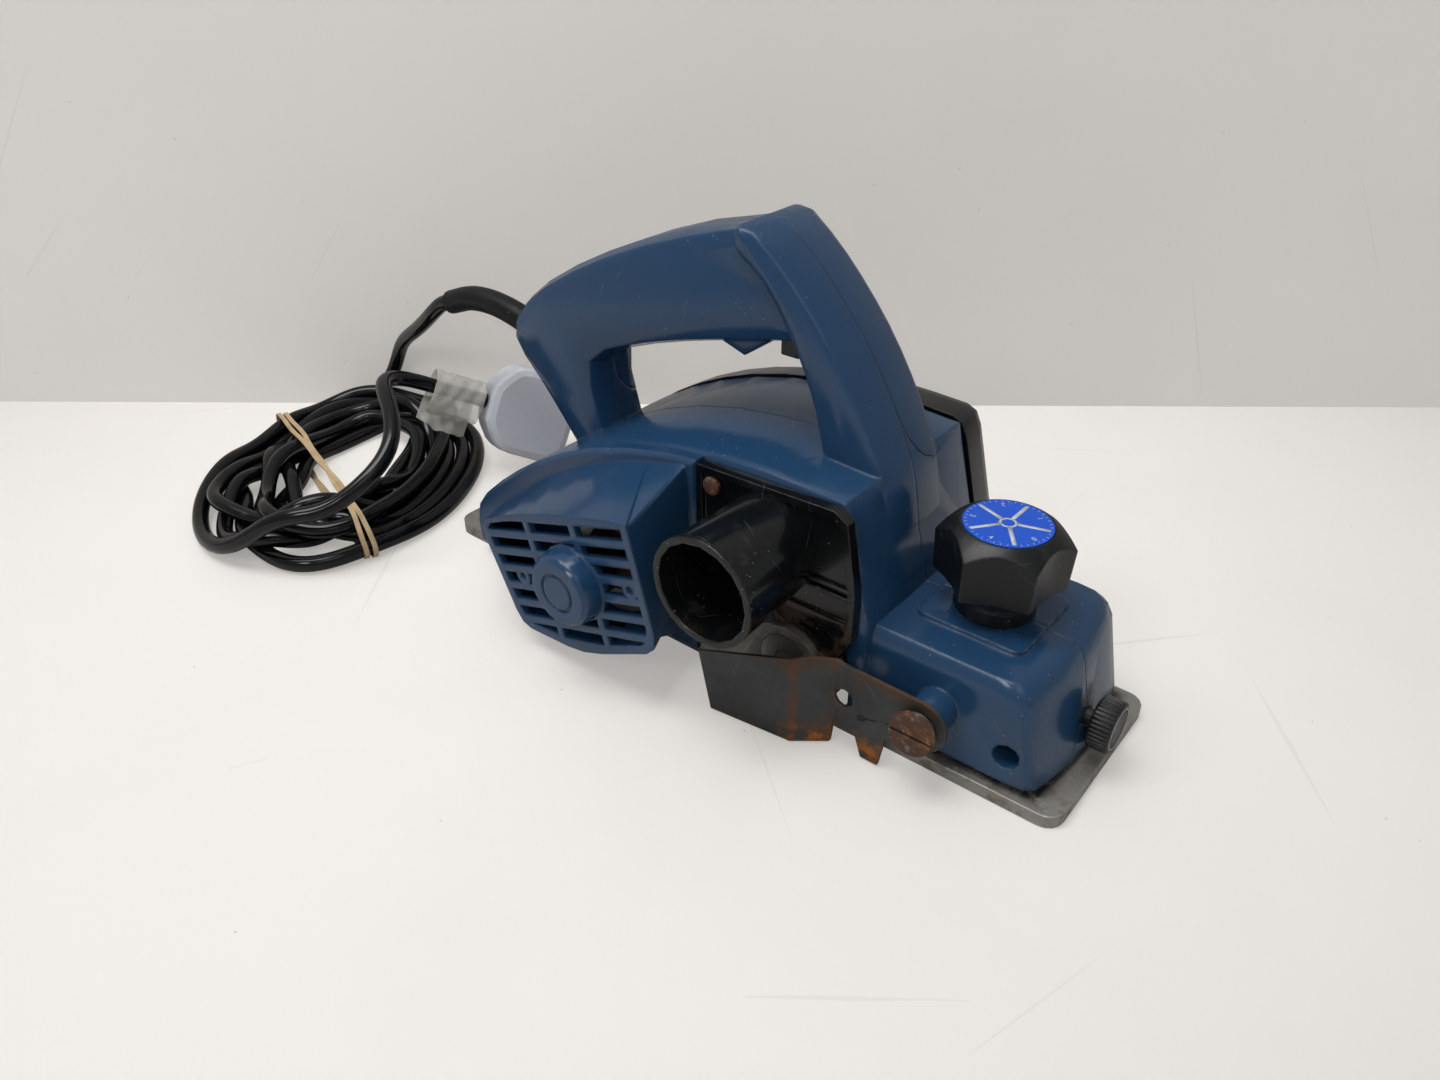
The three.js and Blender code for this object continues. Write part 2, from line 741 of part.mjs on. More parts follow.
function grilleSlots() {
  const rows = [];
  const reach = body_length / 3;
  for (let row = 0; row < grille_rows; row += 1) {
    const z = grille_middle_z + (row - (grille_rows - 1) / 2) * row_pitch;
    rows.push(box(
      [grille_middle_x - reach, grille_y - overrun / 2, z - (slot_share * row_pitch) / 2],
      [grille_middle_x + reach, grille_y + wall + overrun, z + (slot_share * row_pitch) / 2],
    ));
  }
  const ribs = [-1, 1].map((side) => {
    const x = grille_middle_x + (side * grille_column) / 2 - grille_rib / 2;
    return box(
      [x, grille_y - overrun, grille_lows - overrun], [x + grille_rib, overrun, grille_highs + overrun],
    );
  });
  const field = loft([
    grille_ring,
    grille_ring.map((p) => p.clone().setY(grille_y + wall + overrun)),
  ]);
  const screw_bosses = grille_screw_spots.map((spot) =>
    rodY(grille_boss_radius, spot.x, spot.y, grille_y - overrun, grille_y + 2 * wall, small_sides));
  return turnedGrille(joined(rows).subtract(joined(ribs))).intersect(field)
    .subtract(rodY(boss_radius + boss_chamfer, motor_x, motor_z, grille_y - overrun, grille_y + 3 * wall))
    .subtract(joined(screw_bosses));
}

const boss_groove = tubeY(groove_radius, groove_radius - groove_width, motor_x, motor_z, boss_y - overrun,
  boss_y + groove_depth);
const grille_screw_holes = grille_screw_spots.map((spot) =>
  rodY(grille_screw_radius, spot.x, spot.y, grille_y - overrun, grille_y + wall / 2, small_sides));

// Cuts through the shell
const sleeve_route = [
  [-118, 0, 93], [-136, 0, 98.6], [-157, 0, 102.4], [-175, 0, 101.4], [-191.5, 0, 95.7],
];
const sleeve_curve = new THREE.CatmullRomCurve3(sleeve_route.map((p) => new THREE.Vector3(...p)));

// Tube along a curve with flat ends, square to it
function pipe(curve, radius, steps, sides) {
  const section = new THREE.Shape();
  for (let i = 0; i < sides; i += 1) {
    const turn = (2 * Math.PI * i) / sides;
    const point = [radius * Math.cos(turn), radius * Math.sin(turn)];
    if (i === 0) section.moveTo(...point);
    else section.lineTo(...point);
  }
  section.closePath();
  return new THREE.ExtrudeGeometry(section, { steps, bevelEnabled: false, extrudePath: curve });
}

const sleeve_hole = solidOf(pipe(sleeve_curve, sleeve_radius + gap, 16, small_sides));
const drum_well = rodY(drum_well_radius, drum_x, drum_z, -cheek_outer_y, cheek_outer_y)
  .add(box(
    [drum_x - drum_well_radius, -cheek_outer_y, 0], [drum_x + drum_well_radius, cheek_outer_y, drum_z],
  ));
const chute_window = box(
  [flange_front_x + 2 * chute_rim, -body_half_width - overrun, drum_z],
  [drum_x + tube_radius - chute_rim, -body_half_width + 2 * wall, chute_top - 2 * chute_rim],
);
const trigger_slot = box(
  [trigger_tip_x - trigger_pad_length - trigger_play, -trigger_half_width - trigger_play,
    trigger_pivot_z - 2 * trigger_pad_drop],
  [trigger_tip_x + trigger_play, trigger_half_width + trigger_play, trigger_pivot_z],
);
const guard_screw_hole = rodY(screw_radius * 2 + gap, guard_x, guard_z, -guard_arm_y - overrun,
  -block_half_width + wall + overrun, small_sides);
const cuts = joined([
  drum_well, chute_window, trigger_slot, guard_screw_hole, boss_groove, sleeve_hole, grilleSlots(),
  ...grille_screw_holes, ...sole_screw_places.map(sole_boss_hole), ...handle_screws.map(handle_screw_hole),
  rodY(rod_radius, rod_x, rod_z, -block_half_width - overrun, block_half_width + overrun, small_sides),
  rodX(clamp_screw_radius + gap, 0, rod_z, rod_x, block_front_x + overrun, small_sides),
  rodZ(stud_radius + gap, knob_x, 0, block_base - overrun, pad_top + overrun, small_sides),
  guide_hole(-guide_post_y), guide_hole(guide_post_y),
  rodY(motor_bearing_radius + gap, motor_x, motor_z, left_bearing_y - overrun,
    left_bearing_y + bearing_width + gap),
  rodY(motor_shaft_radius + gap, motor_x, motor_z, left_bearing_y, body_half_width + overrun, small_sides),
  box([drum_x, -cheek_outer_y, -overrun], [shoe_front_x, cheek_outer_y, block_base]),
]);
const shell = outer_form.subtract(hollow).add(inner_form.intersect(outer_form)).subtract(cuts);

// Right half, left half and the cover of the handle, parted along the middle
const half_space = (low_y, high_y) => box(
  [2 * sole_rear_x, low_y, -overrun], [2 * shoe_front_x, high_y, 2 * handle_top],
);
function tongueSide(end_z, low_x, high_x, growth) {
  const outer_y = post_half_width + 2 * gap;
  const corner = new THREE.QuadraticBezierCurve(
    vec(outer_y, end_z - growth), vec(-growth, end_z - growth), vec(-growth, end_z + tongue_rise),
  );
  const shape = new THREE.Shape([
    ...corner.getPoints(6), vec(-growth, 2 * handle_top), vec(outer_y, 2 * handle_top),
  ]);
  const geometry = new THREE.ExtrudeGeometry(shape, { depth: high_x - low_x, bevelEnabled: false });
  geometry.rotateX(Math.PI / 2);
  geometry.rotateZ(Math.PI / 2);
  geometry.translate(low_x, 0, 0);
  return solidOf(geometry);
}

// The cover takes the grip, the rear foot above one height and the front foot above another
function handleRegion(growth) {
  const over_body = box(
    [tongue_rear_x, -growth, over_body_z - growth], [tongue_front_x, 2 * post_half_width, 2 * handle_top],
  );
  return tongueSide(tongue_rear_z, -sole_length, tongue_rear_x + growth, growth)
    .add(tongueSide(tongue_front_z, tongue_front_x - growth, shoe_front_x, growth))
    .add(over_body);
}

const right_shell = shell.intersect(half_space(-2 * sole_width, -gap / 2));
const left_shell = shell.intersect(half_space(gap / 2, 2 * sole_width));
add('right_housing', right_shell, 'blue');
add('left_housing', left_shell.subtract(handleRegion(gap)), 'blue');
add('handle_cover', left_shell.intersect(handleRegion(0)), 'blue');

// Belt cover: a tray that draws in towards its outer face
const cover_shares = [
  [0, 0], [-0.005, 0.4], [0.09, 0.585], [0.223, 0.76], [0.383, 0.9], [0.57, 0.99], [0.755, 1.017],
  [0.934, 0.998], [1, 0.49], [1, 0],
];
const cover_softness_shares = [0.2, 0.8, 1, 1, 1, 1, 0.8, 0.3, 0.2, 0.1];
function coverRing(y, inset) {
  const corners = inShares(
    cover_shares, cover_rear_x, cover_base, cover_front_x - cover_rear_x, cover_top - cover_base,
  );
  const ring = softOutline(corners, cover_softness_shares, 2).map((p) => new THREE.Vector3(p.x, y, p.y));
  return inset > 0 ? shrunk(ring, inset, y) : ring;
}
const belt_cover_screw_shares = [[0.17, 0.3], [0.89, 0.75]];
const belt_cover_screws = inShares(
  belt_cover_screw_shares, cover_rear_x, cover_base, cover_front_x - cover_rear_x, cover_top - cover_base,
).map((p) => [p.x, p.y]);
const cover_screw_post = ([x, z]) => rodY(screw_radius + gap + screw_post_wall, x, z, cover_y,
  cover_outer_y - cover_wall / 2, small_sides);
const cover_screw_hole = ([x, z]) => rodY(screw_radius + gap, x, z, cover_y - overrun,
  cover_outer_y + overrun, small_sides)
  .add(rodY(screw_head_radius + gap, x, z, cover_outer_y - screw_head - gap, cover_outer_y + overrun,
    small_sides));
const cover_outer = loft([
  coverRing(cover_y, 0), coverRing(cover_y + cover_bend_share * cover_depth, cover_draft),
  coverRing(cover_outer_y - cover_round, 2 * cover_draft),
  coverRing(cover_outer_y, 2 * cover_draft + cover_round),
]);
const cover_inner = loft([
  coverRing(cover_y - overrun, cover_side_wall),
  coverRing(cover_y + cover_bend_share * cover_depth, cover_side_wall + cover_draft),
  coverRing(cover_outer_y - cover_wall, cover_side_wall + 2 * cover_draft),
]);
const foot_notch = box(
  [cheek_rear_x - 2 * gap, cover_y - overrun, 0],
  [cheek_rear_x + 2 * cheek_radius, cheek_outer_y + gap, sole_thickness + gap],
);
add('belt_cover', cover_outer.subtract(cover_inner).subtract(foot_notch)
  .add(joined(belt_cover_screws.map(cover_screw_post)))
  .subtract(joined(belt_cover_screws.map(cover_screw_hole))), 'black');

// Chip chute: a rimmed plate with the outlet tube
const chute_plate_y = -body_half_width - gap;
const chute_face_y = chute_plate_y - chute_plate_thickness;
const chute_rim_y = chute_face_y - chute_rim_height;
const chute_left_x = flange_front_x + gap;
const chute_shares = [
  [0, 0.5], [0, 0.965], [0.85, 1], [0.93, 0.95], [1, 0.55], [1, 0.27], [0.95, 0.17], [0.87, 0],
];
const chute_outline = inShares(
  chute_shares, chute_left_x, chute_top - chute_height, chute_length, chute_height,
);
const tube_root = new THREE.Vector3(tube_root_x, chute_plate_y, tube_root_z);
const tube_axis = new THREE.Vector3(0, -tube_length, tube_rise).normalize();
const tube_reach = Math.hypot(tube_length, tube_rise);
const chute_screw_x = chute_left_x + chute_screw_inset;
const chute_screw_z = chute_top - chute_screw_drop;

function chipChute() {
  const plate = sideSolid(chute_outline, chute_face_y, chute_plate_y);
  const rim = sideSolid(chute_outline, chute_rim_y, chute_plate_y)
    .subtract(sideSolid(chute_outline, chute_rim_y - overrun, chute_face_y, { inset: chute_rim }));
  const shelf_z = chute_top - shelf_drop;
  const shelf = box(
    [drum_x - tube_radius / 2, chute_rim_y, shelf_z],
    [body_front_x, chute_face_y + gap, shelf_z + chute_rim],
  ).intersect(sideSolid(chute_outline, chute_rim_y, chute_plate_y));
  const tube = turned([
    [0, -overrun], [tube_root_radius, -overrun], [tube_radius, tube_reach], [0, tube_reach],
  ], tube_root.toArray(), tube_axis)
    .intersect(box([-sole_length, -sole_length, 0], [sole_length, chute_plate_y, sole_length]));
  const bore = turned([
    [0, -overrun], [tube_root_radius - tube_wall, -overrun], [tube_radius - tube_wall, tube_reach + overrun],
    [0, tube_reach + overrun],
  ], tube_root.toArray(), tube_axis);
  const cheek_room = cheek_radius + chute_clearance;
  const cheek_cut = rodY(cheek_room, drum_x, drum_z, -sole_width, 0)
    .add(box([-body_length, -sole_width, -overrun], [drum_x, 0, drum_z + cheek_room]));
  const screw_hole = rodY(screw_radius + gap, chute_screw_x, chute_screw_z, -sole_width, 0, small_sides);
  return joined([plate, rim, shelf, tube]).subtract(bore).subtract(cheek_cut).subtract(screw_hole);
}
add('chip_chute', chipChute(), 'black');

// Round-headed screw along Y, its head at head_y and its tip at tip_y
function screwY(name, x, z, head_y, tip_y, look) {
  const length = Math.abs(head_y - tip_y);
  const shank = length - screw_head;
  const profile = [
    [0, 0], [screw_radius, 0], [screw_radius, shank], [screw_head_radius, shank],
    [screw_head_radius, length - screw_head / 4], [screw_head_radius - screw_head / 3, length], [0, length],
  ];
  const toward = head_y > tip_y ? along_y : along_y.clone().negate();
  add(name, turned(profile, [x, tip_y, z], toward, small_sides), look);
}

screwY('chute_screw', chute_screw_x, chute_screw_z, chute_face_y - gap - screw_head, chute_plate_y, 'rust');
belt_cover_screws.forEach(([x, z], i) => {
  screwY(`belt_cover_screw_${i + 1}`, x, z, cover_outer_y, cover_y + gap, 'steel');
});
handle_screws.forEach(([x, z, half], i) => {
  screwY(`handle_screw_${i + 1}`, x, z, half - wall + gap, handle_screw_end_y, 'steel');
});

// Rear sole: plate with ribs and the two cheeks that carry the drum's bearings
const cheek_arm_shares = [
  [0, 0.05], [0.22, 0.05], [0.62, 0.2], [0.62, 0.98], [0.3, 0.8], [0, 0.3],
];
function cheek(side) {
  const [low_y, high_y] = side > 0 ? [cheek_y, cheek_outer_y] : [-cheek_outer_y, -cheek_y];
  const top = drum_z + cheek_radius;
  const arm = sideSolid(
    inShares(cheek_arm_shares, cheek_rear_x, 0, drum_x - cheek_rear_x + cheek_radius, top), low_y, high_y,
  );
  const foot_inner_y = side * (sole_half - overrun);
  const foot = box(
    [cheek_rear_x, Math.min(foot_inner_y, low_y), sole_thickness / 4],
    [cheek_rear_x + cheek_radius, Math.max(foot_inner_y, high_y), sole_thickness],
  );
  return arm.add(foot).add(rodY(cheek_radius, drum_x, drum_z, low_y, high_y))
    .subtract(rodY(drum_bearing_radius + gap, drum_x, drum_z, low_y - overrun, high_y + overrun));
}

// Screw along Z with a countersunk head flush with the sole
const sole_screw_length = sole_thickness + screw_depth - overrun;
const sinkZ = (x, y, growth) => turned([
  [0, -growth], [screw_head_radius + growth, -growth], [screw_head_radius + growth, growth],
  [screw_radius + growth, screw_head + growth], [screw_radius + growth, sole_screw_length + growth],
  [0, sole_screw_length + growth],
], [x, y, gap / 2], along_z, small_sides);

function rearSole() {
  const outline = quarterPlan(sole_rear_x, sole_front_x, sole_half, sole_corner, 0);
  const plate = planSolid(outline, 0, sole_thickness);
  const ribs = [-1, 1].map((side) => box(
    [body_rear_x + 2 * sole_corner, side * sole_rib_y - sole_rib_width / 2, sole_thickness / 2],
    [divider_x - wall, side * sole_rib_y + sole_rib_width / 2, sole_thickness + sole_rib_height],
  ));
  return joined([plate, ...ribs, cheek(-1), cheek(1)])
    .subtract(rodY(drum_well_radius, drum_x, drum_z, -sole_half - overrun / 3, sole_half + overrun / 3,
      fine_sides))
    .subtract(joined(sole_screw_places.map(([x, y]) => sinkZ(x, y, gap))));
}
add('rear_sole', rearSole(), 'cast');
sole_screw_places.forEach(([x, y], i) => add(`sole_screw_${i + 1}`, sinkZ(x, y, 0), 'steel'));

// Front shoe with the boss of the depth stud and two guide posts
function frontShoe() {
  const outline = quarterPlan(shoe_rear_x, shoe_front_x, sole_half, 0, sole_corner);
  const plate = planSolid(outline, 0, shoe_thickness);
  const posts = [-guide_post_y, guide_post_y].map((y) =>
    rodZ(guide_post_radius, guide_post_x, y, shoe_thickness / 2, guide_post_top, small_sides));
  return joined([plate, ...posts, rodZ(shoe_boss_radius, knob_x, 0, shoe_thickness / 2, shoe_boss_top)])
    .subtract(rodZ(stud_radius + gap, knob_x, 0, shoe_thickness + 2 * gap, shoe_boss_top + overrun,
      small_sides));
}
add('front_shoe', frontShoe(), 'cast');

// Rubber seal between the shoe and the block
const seal_bottom = shoe_thickness + gap;
const seal_top = block_base + seal_overlap;
const sealRing = (inset) => blockRing(block_front_x, block_half_width, 0, wall + seal_gap + inset)
  .map((p) => vec(p.x, p.y));
add('shoe_seal', planSolid(sealRing(0), seal_bottom, seal_top, [sealRing(seal_width)]), 'rubber');

// Depth knob: six lobes with hollow flats, a collar below and a dial on top
const knob_corners = 6;
const knob_softness_shares = Array.from({ length: 2 * knob_corners }, (_, i) => (i % 2 === 0 ? 0.5 : 0.9));
const knob_hollow_share = 0.845;
const knob_level_shares = [0.72, 0.9];
function knobRing(radius, z) {
  const corners = [];
  for (let i = 0; i < 2 * knob_corners; i += 1) {
    const reach = i % 2 === 0 ? radius : radius * knob_hollow_share;
    const turn = THREE.MathUtils.degToRad(knob_turn) + (i * Math.PI) / knob_corners;
    corners.push(vec(knob_x + reach * Math.cos(turn), reach * Math.sin(turn)));
  }
  return softOutline(corners, knob_softness_shares, 2).map((p) => new THREE.Vector3(p.x, p.y, z));
}
const knob_chamfer = knob_radius - dial_radius;
const knob_height = knob_top_z - knob_bottom_z;
const dial_seat_z = knob_top_z - dial_thickness;

function depthKnob() {
  const body = loft([
    knobRing(knob_radius - knob_round, knob_bottom_z), knobRing(knob_radius, knob_bottom_z + knob_round),
    knobRing(knob_radius, knob_bottom_z + knob_level_shares[0] * knob_height),
    knobRing(knob_radius - knob_chamfer / 4, knob_bottom_z + knob_level_shares[1] * knob_height),
    knobRing(knob_radius - (2 * knob_chamfer) / 3, knob_top_z - gap),
  ]);
  const top = rodZ(dial_radius + knob_round, knob_x, 0, dial_seat_z - knob_round, knob_top_z, fine_sides);
  const collar = rodZ(collar_radius, knob_x, 0, pad_top + gap, knob_bottom_z + knob_round);
  return joined([body, top, collar])
    .subtract(rodZ(dial_radius + gap, knob_x, 0, dial_seat_z, knob_top_z + overrun, fine_sides))
    .subtract(rodZ(stud_radius + gap, knob_x, 0, pad_top - overrun, stud_top + gap, small_sides));
}
add('depth_knob', depthKnob(), 'black');
add('knob_dial', rodZ(dial_radius, knob_x, 0, dial_seat_z + gap, knob_top_z + gap, fine_sides), 'dial');
add('depth_stud', rodZ(stud_radius, knob_x, 0, shoe_thickness + guide_post_radius, stud_top, small_sides),
  'steel');

// Coil spring drawn along a helix around a line
class Helix extends THREE.Curve {
  constructor(base, radius, rise, turns) {
    super();
    Object.assign(this, { base, radius, rise, turns });
  }

  getPoint(share, target = new THREE.Vector3()) {
    const turn = 2 * Math.PI * this.turns * share;
    return target.set(this.radius * Math.cos(turn), this.radius * Math.sin(turn), this.rise * share)
      .add(this.base);
  }
}
const spring_base = new THREE.Vector3(knob_x, 0, seal_bottom + spring_wire);
const spring_top = block_top - wall - gap;
const spring_rise = spring_top - seal_bottom - 2 * spring_wire;
const spring = new Helix(spring_base, spring_radius, spring_rise, spring_turns);
add('shoe_spring', solidOf(pipe(spring, spring_wire, spring_steps * spring_turns, 6)), 'steel');

// Side guard: a bent sheet with feet, turning on a shouldered screw
const guard_shares = [
  [0.01, 0.652], [0.459, 1], [0.582, 0.95], [0.898, 0.938], [0.898, 0.428], [0.765, 0.328], [0.745, 0],
  [0.673, 0], [0.643, 0.204], [0.541, 0.204], [0.536, 0], [0.066, 0],
];
const guard_plan_shares = [[0, 1], [0.418, 0.66], [0.541, 0], [1.05, 0]];
const guard_rear_x = guard_x + guard_end_radius - guard_length;

function guardPlate() {
  const outline = inShares(guard_shares, guard_rear_x, guard_clearance, guard_length, guard_height);
  const side = sideSolid(outline, -2 * sole_half, -sole_half)
    .add(rodY(guard_end_radius, guard_x, guard_z, -2 * sole_half, -sole_half));
  const line = guard_plan_shares.map(([along, out]) =>
    vec(guard_rear_x + along * guard_length, -guard_arm_y - out * guard_offset));
  const sheet = planSolid([...line, ...line.map((p) => vec(p.x, p.y - guard_thickness)).reverse()],
    0, body_top);
  const pivot = rodY(guard_shoulder_radius + gap, guard_x, guard_z, -sole_width, 0);
  const small_hole = rodY(stud_radius, guard_x - guard_hole_reach, guard_z - stud_radius, -sole_width, 0,
    small_sides);
  return side.intersect(sheet).subtract(pivot).subtract(small_hole);
}
add('guard_plate', guardPlate(), 'dark_steel');

const guard_head_y = -guard_arm_y - guard_thickness - 5 * guard_spring_wire - 2 * gap;
function guardScrew() {
  const tip_y = -block_half_width + wall;
  const shoulder_y = -guard_arm_y;
  const head = guard_screw_head;
  const profile = [
    [0, 0], [guard_screw_radius, 0], [guard_screw_radius, head], [guard_shoulder_radius, head],
    [guard_shoulder_radius, shoulder_y - guard_head_y + head],
    [2 * screw_radius, shoulder_y - guard_head_y + head],
    [2 * screw_radius, tip_y - guard_head_y + head], [0, tip_y - guard_head_y + head],
  ];
  const slot_y = guard_head_y - head - overrun;
  const slot = box(
    [guard_x - 2 * guard_screw_radius, slot_y, guard_z - screw_slot / 2],
    [guard_x + 2 * guard_screw_radius, slot_y + overrun + head / 2, guard_z + screw_slot / 2],
  );
  return turned(profile, [guard_x, guard_head_y - head, guard_z], along_y).subtract(slot);
}
add('guard_screw', guardScrew(), 'rust');

const guard_coil = new Helix(new THREE.Vector3(), guard_shoulder_radius + gap + guard_spring_wire,
  3 * guard_spring_wire, guard_spring_turns);
const guard_spring = pipe(guard_coil, guard_spring_wire, 20, 6);
guard_spring.rotateX(Math.PI / 2);
guard_spring.translate(guard_x, -guard_arm_y - guard_thickness - gap - guard_spring_wire, guard_z);
add('guard_spring', solidOf(guard_spring), 'dark_steel');

// Guide-rod clamp: knurled knob and its screw
const clamp_x = block_front_x + gap;
function clampKnob() {
  const teeth = [];
  for (let i = 0; i < 2 * knurls; i += 1) {
    const radius = i % 2 === 0 ? clamp_radius : clamp_radius - knurl_depth;
    const turn = (i * Math.PI) / knurls;
    teeth.push(vec(radius * Math.cos(turn), radius * Math.sin(turn)));
  }
  const geometry = new THREE.ExtrudeGeometry(new THREE.Shape(teeth), {
    depth: clamp_length, bevelEnabled: false,
  });
  geometry.rotateY(Math.PI / 2);
  geometry.translate(clamp_x, 0, rod_z);
  const end_x = clamp_x + clamp_length;
  const bore_radius = clamp_screw_radius + gap;
  return solidOf(geometry)
    .subtract(rodX(clamp_radius - clamp_rim, 0, rod_z, end_x - screw_head, end_x + overrun))
    .subtract(rodX(bore_radius, 0, rod_z, clamp_x - overrun, end_x, small_sides));
}
add('clamp_knob', clampKnob(), 'black');
const clamp_head_x = clamp_x + clamp_length - screw_head;
const clamp_screw_head = rodX(clamp_radius - clamp_rim - gap, 0, rod_z, clamp_head_x + gap,
  clamp_x + clamp_length, round_sides);
add('clamp_screw', rodX(clamp_screw_radius, 0, rod_z, rod_x + rod_radius + gap, clamp_head_x + screw_head,
  small_sides).add(clamp_screw_head), 'steel');

// Cutter drum with two blades
const blade_tip = (x, z, turn) => vec(x, z).rotateAround(vec(0, 0), turn);
function bladeBox(half_thickness, low_radius, high_radius, half_width, turn) {
  const middle = blade_tip((low_radius + high_radius) / 2, 0, turn);
  const geometry = new THREE.BoxGeometry(high_radius - low_radius, 2 * half_width, 2 * half_thickness);
  geometry.rotateY(-turn);
  geometry.translate(drum_x + middle.x, 0, drum_z + middle.y);
  return solidOf(geometry);
}
const blade_turns = [0.35 * Math.PI, 1.35 * Math.PI];
const blade_low = cutting_radius - blade_depth;

function cutterDrum() {
  const gullets = blade_turns.map((turn) => {
    const spot = blade_tip(drum_radius + gullet_radius / 3, gullet_radius + blade_thickness, turn);
    return rodY(gullet_radius, drum_x + spot.x, drum_z + spot.y, -sole_half, sole_half, small_sides);
  });
  const slots = blade_turns.map((turn) =>
    bladeBox(blade_thickness / 2 + gap, blade_low - gap, cutting_radius + overrun, sole_half, turn));
  return rodY(drum_radius, drum_x, drum_z, -drum_half_width, drum_half_width, fine_sides)
    .subtract(joined([...gullets, ...slots]))
    .subtract(rodY(drum_shaft_radius + gap, drum_x, drum_z, -sole_half, sole_half));
}
add('cutter_drum', cutterDrum(), 'steel');
blade_turns.forEach((turn, i) => add(
  `blade_${i + 1}`,
  bladeBox(blade_thickness / 2, blade_low, cutting_radius, drum_half_width, turn),
  'steel',
));
add('drum_shaft', rodY(drum_shaft_radius, drum_x, drum_z, -cheek_outer_y, shaft_end_y), 'steel');
add('drum_bearing_right', tubeY(drum_bearing_radius, drum_shaft_radius + gap, drum_x, drum_z, -cheek_outer_y,
  -cheek_y), 'steel');
add('drum_bearing_left', tubeY(drum_bearing_radius, drum_shaft_radius + gap, drum_x, drum_z, cheek_y,
  cheek_outer_y), 'steel');

// Pulleys and belt
function pulley(radius, x, z, bore) {
  const flange = radius + pulley_flange;
  const end = pulley_width;
  return turned([
    [bore, 0], [flange, 0], [flange, pulley_rim], [radius, pulley_rim], [radius, end - pulley_rim],
    [flange, end - pulley_rim], [flange, end], [bore, end], [bore, 0],
  ], [x, pulley_y, z], along_y);
}
add('drum_pulley', pulley(drum_pulley_radius, drum_x, drum_z, drum_shaft_radius + gap), 'steel');
add('motor_pulley', pulley(motor_pulley_radius, motor_x, motor_z, motor_shaft_radius + gap), 'steel');

function beltOutline(growth) {
  const drum = vec(drum_x, drum_z);
  const motor = vec(motor_x, motor_z);
  const line = motor.clone().sub(drum);
  const lean = Math.acos((drum_pulley_radius - motor_pulley_radius) / line.length());
  const arc = (centre, radius, start, end) => {
    const points = [];
    for (let i = 0; i <= small_sides; i += 1) {
      const turn = start + ((end - start) * i) / small_sides;
      points.push(vec(centre.x + radius * Math.cos(turn), centre.y + radius * Math.sin(turn)));
    }
    return points;
  };
  const toward = line.angle();
  return [
    ...arc(motor, motor_pulley_radius + growth, toward - lean, toward + lean),
    ...arc(drum, drum_pulley_radius + growth, toward + lean, toward - lean + 2 * Math.PI),
  ];
}
const belt_y = pulley_y + pulley_rim + gap;
add('drive_belt', sideSolid(beltOutline(gap + belt_thickness), belt_y, belt_y + belt_width, {
  holes: [beltOutline(gap)],
}), 'rubber');

// Motor
const pocket_y = boss_y + wall + gap;
add('motor_shaft', rodY(motor_shaft_radius, motor_x, motor_z, pocket_y, shaft_end_y), 'steel');
add('motor_bearing_right', tubeY(motor_bearing_radius, motor_shaft_radius + gap, motor_x, motor_z, pocket_y,
  pocket_y + bearing_width), 'steel');
add('motor_bearing_left', tubeY(motor_bearing_radius, motor_shaft_radius + gap, motor_x, motor_z,
  left_bearing_y, left_bearing_y + bearing_width), 'steel');
const armature_y = stator_front_y + armature_step;
add('armature', tubeY(armature_radius, motor_shaft_radius + gap, motor_x, motor_z, armature_y,
  stator_end_y + armature_step), 'copper');
const commutator_y = armature_y - gap - commutator_length;
add('commutator', tubeY(commutator_radius, motor_shaft_radius + gap, motor_x, motor_z, commutator_y,
  armature_y - gap), 'copper');
add('stator', tubeY(stator_radius, armature_radius + 2 * gap, motor_x, motor_z, stator_front_y,
  stator_end_y), 'steel');
[-1, 1].forEach((side, i) => {
  const inner = motor_x + side * (commutator_radius + gap);
  const outer = motor_x + side * brush_reach;
  add(`brush_holder_${i + 1}`, box(
    [Math.min(inner, outer), commutator_y + brush_inset, motor_z - brush_height / 2],
    [Math.max(inner, outer), commutator_y + commutator_length - brush_inset, motor_z + brush_height / 2],
  ), 'brass');
});

function fan() {
  const hub = rodY(motor_bearing_radius, motor_x, motor_z, fan_y, fan_y + fan_depth);
  const end_y = fan_y + fan_depth;
  const disc = rodY(fan_radius, motor_x, motor_z, end_y - fan_wall, end_y, fine_sides);
  const blades = [];
  for (let i = 0; i < fan_blades; i += 1) {
    const turn = (2 * Math.PI * i) / fan_blades;
    const reach = fan_radius - motor_bearing_radius;
    const geometry = new THREE.BoxGeometry(reach, fan_depth - fan_wall / 2, fan_wall);
    geometry.translate((fan_radius + motor_bearing_radius - fan_wall) / 2, 0, 0);
    geometry.rotateY(turn);
    geometry.translate(motor_x, fan_y + (fan_depth - fan_wall / 2) / 2, motor_z);
    blades.push(solidOf(geometry));
  }
  return joined([hub, disc, ...blades])
    .subtract(rodY(motor_shaft_radius + gap, motor_x, motor_z, fan_y - overrun, end_y + overrun));
}
add('fan', fan(), 'black');

